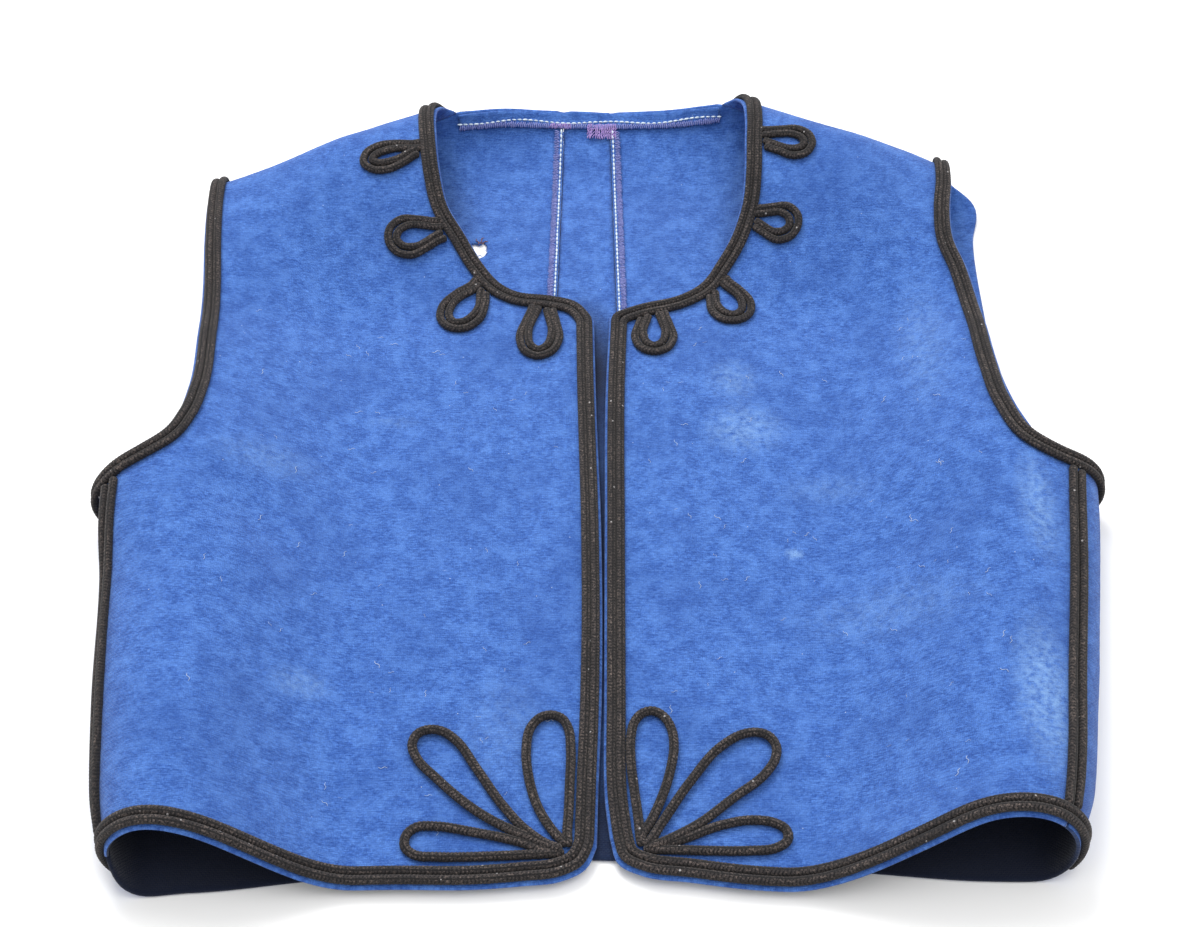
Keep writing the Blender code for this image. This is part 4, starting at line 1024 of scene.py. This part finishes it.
def sewing_thread(name, colour, pale):
    """Twisted sewing thread in one colour, uneven along its length."""
    material, tree, shader = finish(name, 0.7, 0.1)
    place = stretched(tree, add(tree, "ShaderNodeTexCoord").outputs["Object"], (1 / MM, 1 / MM, 1 / MM))
    shade = noise(tree, place, 1.4, 3.0)
    tree.links.new(mixed(tree, ramp(tree, shade, 0.35, 0.7), colour, pale), shader.inputs["Base Color"])
    bumped(tree, shader, noise(tree, place, 6.0, 1.0), 0.3, 0.05 * MM)
    return material


def scatter_tree():
    """Geometry Nodes: a copy of a small piece on each point, turned to the point's along and up."""
    tree = bpy.data.node_groups.new("Copies on points", "GeometryNodeTree")
    for socket, kind, value in (
        ("Geometry", "NodeSocketGeometry", None), ("Piece", "NodeSocketObject", None),
        ("Material", "NodeSocketMaterial", None), ("Least size", "NodeSocketFloat", 0.8),
        ("Most size", "NodeSocketFloat", 1.2), ("Turn", "NodeSocketFloat", 0.2), ("Seed", "NodeSocketInt", 1),
    ):
        made = tree.interface.new_socket(socket, in_out="INPUT", socket_type=kind)
        if value is not None:
            made.default_value = value
    tree.interface.new_socket("Geometry", in_out="OUTPUT", socket_type="NodeSocketGeometry")
    given = tree.nodes.new("NodeGroupInput").outputs
    along, up = (
        add(tree, "GeometryNodeInputNamedAttribute", {"Name": word}, data_type="FLOAT_VECTOR").outputs[0]
        for word in ("along", "up")
    )
    axes = {"primary_axis": "X", "secondary_axis": "Z"}
    facing = add(tree, "FunctionNodeAxesToRotation", {0: along, 1: up}, **axes).outputs[0]
    half = maths(tree, "MULTIPLY", given["Turn"], -1.0)
    least_most = {2: half, 3: given["Turn"], "Seed": given["Seed"]}
    sway = add(tree, "FunctionNodeRandomValue", least_most, data_type="FLOAT").outputs[1]
    spin = add(tree, "FunctionNodeAxisAngleToRotation", {"Axis": (0, 0, 1), "Angle": sway}).outputs[0]
    turned = add(tree, "FunctionNodeRotateRotation", {0: facing, 1: spin}, rotation_space="LOCAL").outputs[0]
    least_most = {2: given["Least size"], 3: given["Most size"], "Seed": given["Seed"]}
    size = add(tree, "FunctionNodeRandomValue", least_most, data_type="FLOAT").outputs[1]
    piece = add(tree, "GeometryNodeObjectInfo", {"Object": given["Piece"]}).outputs["Geometry"]
    laid = {"Points": given["Geometry"], "Instance": piece, "Rotation": turned, "Scale": size}
    copies = add(tree, "GeometryNodeInstanceOnPoints", laid).outputs[0]
    real = add(tree, "GeometryNodeRealizeInstances", {0: copies}).outputs[0]
    coat = {"Geometry": real, "Material": given["Material"]}
    coated = add(tree, "GeometryNodeSetMaterial", coat).outputs[0]
    tree.links.new(coated, tree.nodes.new("NodeGroupOutput").inputs[0])
    return tree


def thread_piece(name, points, radius, sides=6):
    """A short round thread through points in mm, thinner at its ends."""
    line = through(points, radius * 1.6)
    tangent = np.gradient(line, axis=0)
    tangent /= np.linalg.norm(tangent, axis=1)[:, None]
    side = np.cross(tangent, [0.03, 0.02, 1.0])
    side /= np.linalg.norm(side, axis=1)[:, None]
    up = np.cross(side, tangent)
    angle = 2 * np.pi * np.arange(sides) / sides
    thick = radius * np.sqrt(np.clip(1 - abs(np.linspace(-1, 1, len(line))) ** 6, 0.05, 1))[:, None, None]
    ring = np.cos(angle)[None, :, None] * side[:, None] + np.sin(angle)[None, :, None] * up[:, None]
    points = (line[:, None] + thick * ring).reshape(-1, 3)
    faces = [
        (i * sides + k, i * sides + (k + 1) % sides, (i + 1) * sides + (k + 1) % sides, (i + 1) * sides + k)
        for i in range(len(line) - 1) for k in range(sides)
    ]
    faces = [f[::-1] for f in faces]
    faces += [tuple(range(sides)), tuple((len(line) - 1) * sides + k for k in reversed(range(sides)))]
    mesh = bpy.data.meshes.new(name)
    mesh.from_pydata(points.tolist(), [], faces)
    mesh.shade_smooth()
    piece = bpy.data.objects.new(name, mesh)
    bpy.context.collection.objects.link(piece)
    return piece


def scatter(name, cloth, spots, along, piece, material, lift, size=(0.85, 1.15), turn=0.15, seed=1):
    """Copies of a piece on flat spots of a cloth, with x along the flat direction given and z outward."""
    outward = cloth.outward(spots) * np.sign(lift)
    ahead = cloth.middle(spots + 0.5 * MM * along) - cloth.middle(spots)
    mesh = bpy.data.meshes.new(name)
    mesh.from_pydata(cloth.laid(spots, lift).tolist(), [], [])
    for word, vectors in (("along", ahead), ("up", outward)):
        layer = mesh.attributes.new(word, "FLOAT_VECTOR", "POINT")
        layer.data.foreach_set("vector", vectors.astype(np.float32).ravel())
    bed = bpy.data.objects.new(name + "_points", mesh)
    bpy.context.collection.objects.link(bed)
    modifier = bed.modifiers.new("Copies", "NODES")
    modifier.node_group = SCATTER
    given = {
        "Piece": piece, "Material": material, "Least size": size[0], "Most size": size[1], "Turn": turn,
        "Seed": seed,
    }
    for item in SCATTER.interface.items_tree:
        if item.in_out == "INPUT" and item.name in given:
            modifier[item.identifier] = given[item.name]
    bpy.context.view_layer.update()
    ready = bed.evaluated_get(bpy.context.evaluated_depsgraph_get())
    made = bpy.data.objects.new(name, bpy.data.meshes.new_from_object(ready))
    made.data.name = name
    bpy.data.objects.remove(bed)
    bpy.context.collection.objects.link(made)
    if not made.data.materials:
        made.data.materials.append(material)
    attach(made, "root")
    return made


def front_layout(side):
    """A front's edges and outline on the flat cloth, not yet mirrored."""
    hem, opening = through(FRONT_HEM[side]), through([FRONT_HEM[side][-1]] + OPENING[side])
    neck = through([OPENING[side][-1]] + FRONT_NECK[side])
    armhole = through(FRONT_ARMHOLE[side])
    edge = np.concatenate([hem[:-1], opening[:-1], neck])
    ends = on_front(side, edge), on_front(side, armhole)
    shoulder_a = stations(ends[0][-1, 0], ends[1][0, 0], FINE)
    shoulder = np.stack([shoulder_a, seam_up(side, shoulder_a) - SEAM_GAP / 2], axis=1)
    seam_b = stations(ends[1][-1, 1], ends[0][0, 1], FINE)
    seam = np.stack([seam_across(side, seam_b) - SEAM_GAP / 2, seam_b], axis=1)
    return edge, armhole, [(ends[0], EDGE_ROUND), (shoulder, 0), (ends[1], EDGE_ROUND), (seam, 0)]


def cloth_piece(name, node, cloth, pieces, material, rests_on, slot="blue cloth", **options):
    """A shell in place of a panel. The size it was cut to is worked out, but nothing is declared with it."""
    obj, size, area = shell(name, cloth, pieces, material, **options)
    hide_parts(node)
    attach(obj, "root")
    return obj


def dress_front(side, word, edge, armhole, pieces):
    cloth, turned = FRONT, [(mirrored(side, line), round_) for line, round_ in pieces]
    cloth_piece(
        "cloth_front_" + word, "front_" + word, cloth, turned, MATERIALS["front_" + word],
        ["back_" + word, "back_centre"], inside_material=MATERIALS["front inside, painted shade"],
    )
    cords = []
    low = edge[:, 1] < HEM_BELOW
    margin = np.where(low, CORD_MARGIN["hem"], CORD_MARGIN["opening"])
    margin = np.convolve(np.pad(margin, 12, mode="edge"), np.ones(25) / 25, mode="valid")
    for k, place in enumerate(("outer", "inner")):
        path = inset(edge, margin + CORD_RADIUS + k * CORD_PITCH, -1)
        path = path[path[:, 1] < seam_up(side, path[:, 0]) - SEAM_GAP]
        cords.append(path)
        plait(f"cord_edge_{place}_{word}", cloth, mirrored(side, path))
    for k, place in enumerate(("outer", "inner")):
        path = inset(armhole, CORD_MARGIN["opening"] + CORD_RADIUS + k * CORD_PITCH, -1)
        path = path[path[:, 1] < seam_up(side, path[:, 0]) - SEAM_GAP]
        cords.append(path)
        plait(f"cord_armhole_{place}_{word}", cloth, mirrored(side, path))
    for offset, place in ((-SIDE_CORDS, "front"), (SIDE_CORDS, "back")):
        line_b = np.arange(-0.225, 0.0, FINE)
        line = np.stack([seam_across(side, line_b) + offset * CORD_PITCH, line_b], axis=1)
        path = reaching(line, cords[:4])
        plait(f"cord_side_{place}_{word}", cloth, mirrored(side, path))
    for number, row in enumerate(NECK_LOOPS[side], 1):
        outer = reaching(loop(row, LOOP_FORM), cords[:2])
        inner = reaching(nestled(loop(row, LOOP_FORM, CORD_PITCH), [outer], PRESSED), cords[:2])
        plait(f"cord_loop{number}_outer_{word}", cloth, mirrored(side, outer))
        plait(f"cord_loop{number}_inner_{word}", cloth, mirrored(side, inner))
    for number, row in enumerate(PETALS[side], 1):
        route = through([PETAL_FOOT[side]] + row + [PETAL_FOOT[side]])
        path = nestled(route, cords[:2], PETAL_PITCH)
        plait(f"cord_petal{number}_{word}", cloth, mirrored(side, path), (number % 3) * PETAL_RISE)


def back_layout(side, edge, armhole):
    at = {
        "hem": crossing(side, edge, "side"),
        "underarm": crossing(side, armhole[::-1], "side"),
        "tip": crossing(side, armhole, "shoulder"),
        "neck": crossing(side, edge[::-1], "shoulder"),
    }
    to_mm = {name: (a / MM, b / MM) for name, (a, b) in at.items()}
    hem = through(BACK_HEM[side] + [to_mm["hem"]])
    hole = through([to_mm["underarm"]] + BACK_ARMHOLE[side] + [to_mm["tip"]])
    neck = through([to_mm["neck"]] + BACK_NECK[::-1])
    up = np.arange(-0.24, 0.24, FINE)
    split = np.interp(up, *np.array([(v, u) for u, v in BACK_SEAM[side]]).T * MM)
    split = np.stack([split, up], axis=1)

    def past_split(line):
        return line[line[:, 0] > np.interp(line[:, 1], split[:, 1], split[:, 0]) + SEAM_GAP / 2]

    hem_out, neck_in = past_split(hem), past_split(neck)
    inner = split[(split[:, 1] > hem_out[0, 1]) & (split[:, 1] < neck_in[-1, 1])][::-1] + [SEAM_GAP / 2, 0]
    pieces = [
        (hem_out, EDGE_ROUND),
        (back_side_seam(side, at["hem"][1], at["underarm"][1]), 0),
        (hole, EDGE_ROUND),
        (back_shoulder_seam(side, at["tip"][0], at["neck"][0]), 0),
        (neck_in, EDGE_ROUND),
        (inner, 0),
    ]
    return hem, neck, split, pieces


def dress_back(side, word, split, pieces):
    moth = mirrored(side, (np.array(MOTH_HOLE_AT) + MOTH_HOLE) * MM) if side == RIGHT else None
    cloth_piece(
        "cloth_back_" + word, "back_" + word, BACK,
        [(mirrored(side, line), round_) for line, round_ in pieces],
        MATERIALS["back"], [], inside_material=MATERIALS["back inside, painted shade"], hole=moth,
    )
    hem_out, neck_in = pieces[0][0], pieces[4][0]
    strip = split[(split[:, 1] > hem_out[0, 1] + 2 * MM) & (split[:, 1] < neck_in[-1, 1] - NECK_HEM - 2 * MM)]
    strip = mirrored(side, strip)
    wide = strip + [side * ALLOWANCE, 0]
    ends = np.array([strip[-1], wide[-1]]), np.array([wide[0], strip[0]])
    cloth_piece(
        "cloth_allowance_" + word, "seam_allowance_" + word, BACK,
        [(strip, 0), (ends[0], 0), (wide[::-1], 0), (ends[1], 0)], MATERIALS["back"], ["back_" + word],
        slot="serged edge", wall=ALLOWANCE_WALL, lift=PRESSED_MIDDLE, step=STRIP_STEP,
    )
    sewn = evenly(strip + [side * TOPSTITCH_IN, 0], STITCH_PITCH)
    sew(f"topstitch_{word}", sewn, PIECES["stitch"], MATERIALS["white thread"], PRESSED_FACE - STITCH_RISE)
    sewn = evenly(wide + [-side * SERGE_IN, 0], SERGE_PITCH)
    sew(f"serging_{word}", sewn, PIECES["serge"], MATERIALS["grey thread"], PRESSED_FACE - SERGE_RISE,
        turn=0.25)


def sew(name, spots, piece, material, lift, turn=0.08, seed=1):
    along = np.gradient(spots, axis=0)
    along /= np.linalg.norm(along, axis=1)[:, None]
    return scatter(name, BACK, spots, along, piece, material, lift, turn=turn, seed=seed)


def dress_back_centre(hems, necks, splits):
    def between_splits(line):
        a, b = line.T
        low = -np.interp(b, splits[RIGHT][:, 1], splits[RIGHT][:, 0]) + SEAM_GAP / 2
        high = np.interp(b, splits[LEFT][:, 1], splits[LEFT][:, 0]) - SEAM_GAP / 2
        return line[(a > low) & (a < high)]

    hem = between_splits(np.concatenate([mirrored(RIGHT, hems[RIGHT])[::-1], hems[LEFT][1:]]))
    neck = between_splits(np.concatenate([necks[LEFT], mirrored(RIGHT, necks[RIGHT])[::-1][1:]]))
    sides = []
    for side, sign in ((LEFT, 1), (RIGHT, -1)):
        line = splits[side][(splits[side][:, 1] > hem[0, 1]) & (splits[side][:, 1] < neck[0, 1])]
        sides.append(mirrored(side, line - [SEAM_GAP / 2, 0])[::sign])
    pieces = [(hem, EDGE_ROUND), (sides[0], 0), (neck, EDGE_ROUND), (sides[1], 0)]
    cloth_piece(
        "cloth_back_centre", "back_centre", BACK, pieces, MATERIALS["back"], [],
        inside_material=MATERIALS["back inside, painted shade"],
    )


def dress_neck_back(necks):
    """The turned hem inside the back of the neck, its sewing, and the two cords outside it."""
    whole = np.concatenate([necks[LEFT], mirrored(RIGHT, necks[RIGHT])[::-1][1:]])
    line = whole[abs(whole[:, 0]) < NECK_HEM_REACH]
    top, low = inset(line, 0.4 * MM, 1), inset(line, NECK_HEM, 1)
    ends = [(np.array([top[-1], low[-1]]), 0), (np.array([low[0], top[0]]), 0)]
    cloth_piece(
        "cloth_neck_hem", "neck_hem", BACK, [(top, 0), ends[0], (low[::-1], 0), ends[1]], MATERIALS["back"],
        ["back_right", "back_left"], wall=ALLOWANCE_WALL, lift=PRESSED_MIDDLE, step=STRIP_STEP,
    )
    wavy = inset(line, NECK_HEM - 3.2 * MM, 1)
    wavy = wavy + np.stack([0 * wavy[:, 0], 0.7 * MM * np.sin(wavy[:, 0] / (7 * MM))], axis=1)
    sewn = evenly(wavy, STITCH_PITCH)
    sew("neck_stitches", sewn, PIECES["stitch"], MATERIALS["white thread"], PRESSED_FACE - STITCH_RISE)
    serged = evenly(inset(line, NECK_HEM - SERGE_IN, 1), SERGE_PITCH)
    sew("neck_serging", serged, PIECES["serge"], MATERIALS["grey thread"], PRESSED_FACE - SERGE_RISE,
        turn=0.25)
    for number, (first, last, rows) in enumerate(PURPLE_SEWING, 1):
        for row in range(rows):
            tack = line[(line[:, 0] > first * MM) & (line[:, 0] < last * MM)]
            tack = evenly(inset(tack, NECK_HEM + (row * TACK_PITCH - 1) * MM, 1), SERGE_PITCH)
            sew(f"neck_tack{number}_{row}", tack, PIECES["serge"], MATERIALS["purple thread"],
                PRESSED_FACE - TACK_RISE, turn=0.5, seed=row)
    for k, place in enumerate(("outer", "inner")):
        path = inset(whole, CORD_MARGIN["opening"] + CORD_RADIUS + k * CORD_PITCH, 1)
        plait(f"cord_neck_{place}_back", BACK, path)


def fray_moth_hole():
    """Brown and blue threads that hang over the edge of the moth hole, on the inside."""
    middle = np.array(MOTH_HOLE_AT) * [RIGHT, 1]
    spots = np.array([middle + (a, b) for a, b, _ in MOTH_THREADS]) * MM
    turns = np.radians([turn for _, _, turn in MOTH_THREADS])
    along = np.stack([np.cos(turns), np.sin(turns)], axis=1)
    lift = -(WALL / 2 + 0.15 * MM)
    for word, rows in (("brown", slice(0, 3)), ("blue", slice(3, None))):
        scatter("moth_threads_" + word, BACK, spots[rows], along[rows], PIECES["frayed"],
                MATERIALS[word + " thread"], lift, turn=0.3)


def lay_fluff(word, low, high, number, seed):
    """Bits of fluff scattered on the outer face of a front, within a box on its flat cloth."""
    rng = np.random.default_rng(seed)
    spots = rng.uniform(np.array(low) * MM, np.array(high) * MM, (number, 2))
    angle = rng.uniform(0, 2 * np.pi, number)
    along = np.stack([np.cos(angle), np.sin(angle)], axis=1)
    lift = WALL / 2 + 0.12 * MM
    scatter("fluff_" + word, FRONT, spots, along, PIECES["fibre"], MATERIALS["fluff"], lift,
            size=(0.5, 1.4), seed=seed)


def set_stage():
    """Plain white floor, soft light from above and behind, and the camera at the photograph's angle."""
    floor_mesh = bpy.data.meshes.new("floor")
    half = FLOOR / 2
    corners = [(-half, -half, 0), (half, -half, 0), (half, half, 0), (-half, half, 0)]
    floor_mesh.from_pydata(corners, [], [(0, 1, 2, 3)])
    floor = bpy.data.objects.new("floor", floor_mesh)
    floor.location.z = -0.2 * MM
    bpy.context.collection.objects.link(floor)
    material = bpy.data.materials.new("white floor")
    material.use_nodes = True
    shader = material.node_tree.nodes["Principled BSDF"]
    shader.inputs["Base Color"].default_value = (0.93, 0.93, 0.93, 1)
    shader.inputs["Roughness"].default_value = 0.8
    shader.inputs["Specular IOR Level"].default_value = 0.1
    floor_mesh.materials.append(material)

    world = bpy.data.worlds.new("studio")
    bpy.context.scene.world = world
    world.use_nodes = True
    tree = world.node_tree
    tree.nodes["Background"].inputs["Color"].default_value = (1, 1, 1, 1)
    direction = add(tree, "ShaderNodeTexCoord").outputs["Generated"]
    height = add(tree, "ShaderNodeSeparateXYZ", {0: direction}).outputs[2]
    level, overhead = SKY
    strength = maths(tree, "MULTIPLY_ADD", ramp(tree, height, 0.0, 0.8), overhead - level, level)
    tree.links.new(strength, tree.nodes["Background"].inputs["Strength"])
    for name, place, size, power in LIGHTS:
        lamp = bpy.data.lights.new(name, "AREA")
        lamp.size, lamp.energy = size, power
        light = bpy.data.objects.new(name, lamp)
        light.location = place
        light.rotation_euler = Vector(place).to_track_quat("Z", "Y").to_euler()
        bpy.context.collection.objects.link(light)

    camera = bpy.data.cameras.new("camera")
    camera.sensor_width = 36
    camera.lens = CAMERA_FOCAL / IMAGE_WIDTH * camera.sensor_width
    eye = bpy.data.objects.new("camera", camera)
    tilt = np.radians(CAMERA_ELEVATION)
    eye.location = (CAMERA_ACROSS, -CAMERA_DISTANCE * np.cos(tilt), CAMERA_DISTANCE * np.sin(tilt))
    eye.rotation_euler = (np.pi / 2 - tilt, 0, 0)
    bpy.context.collection.objects.link(eye)
    bpy.context.scene.camera = eye
    bpy.context.scene.view_settings.view_transform = "Standard"


WEAVE, LINT, SCATTER = weave_group(), lint_group(), scatter_tree()
MATERIALS = {
    "front_right": blue_cloth("blue cloth, right front", WEAVE, LINT, WEAR["front_right"]),
    "front_left": blue_cloth("blue cloth, left front", WEAVE, LINT, WEAR["front_left"]),
    "back": blue_cloth("blue cloth, back", WEAVE, LINT),
    # the insides of the fronts and of the back carry painted shade where they lie in the dark
    "front inside, painted shade": blue_cloth("blue cloth with painted shade, inside of the fronts", WEAVE, LINT, shade=PAINTED_SHADE["front inside, painted shade"]),
    "back inside, painted shade": blue_cloth("blue cloth with painted shade, inside of the back", WEAVE, LINT, shade=PAINTED_SHADE["back inside, painted shade"]),
    "plaited cord": plaited_cord("plaited cord", LINT),
    "white thread": sewing_thread("white thread", (0.48, 0.60, 0.70, 1), (0.82, 0.88, 0.92, 1)),
    "grey thread": sewing_thread("grey thread", (0.12, 0.15, 0.42, 1), (0.28, 0.30, 0.60, 1)),
    "fluff": sewing_thread("fluff", (0.35, 0.45, 0.62, 1), (0.62, 0.68, 0.78, 1)),
    "blue thread": sewing_thread("blue thread", BLUE["deep"], BLUE["light"]),
    "purple thread": sewing_thread("purple thread", (0.22, 0.14, 0.42, 1), (0.42, 0.30, 0.58, 1)),
    "brown thread": sewing_thread("brown thread", (0.10, 0.04, 0.03, 1), (0.28, 0.12, 0.08, 1)),
}
PIECES = {name: thread_piece(name, points, radius) for name, points, radius in THREAD_PIECES}
FRONT = Cloth(front_cloth, 1, CREASES["front_right"] + CREASES["front_left"], 11)
BACK = Cloth(back_cloth, -1, CREASES["back"], 12)

hems, necks, splits = {}, {}, {}
for side, word in ((RIGHT, "right"), (LEFT, "left")):
    edge, armhole, pieces = front_layout(side)
    dress_front(side, word, edge, armhole, pieces)
    hems[side], necks[side], splits[side], pieces = back_layout(side, edge, armhole)
    dress_back(side, word, splits[side], pieces)
dress_back_centre(hems, necks, splits)
dress_neck_back(necks)
fray_moth_hole()
for row in FLUFF:
    lay_fluff(*row)
for piece in PIECES.values():
    bpy.data.objects.remove(piece)
set_stage()
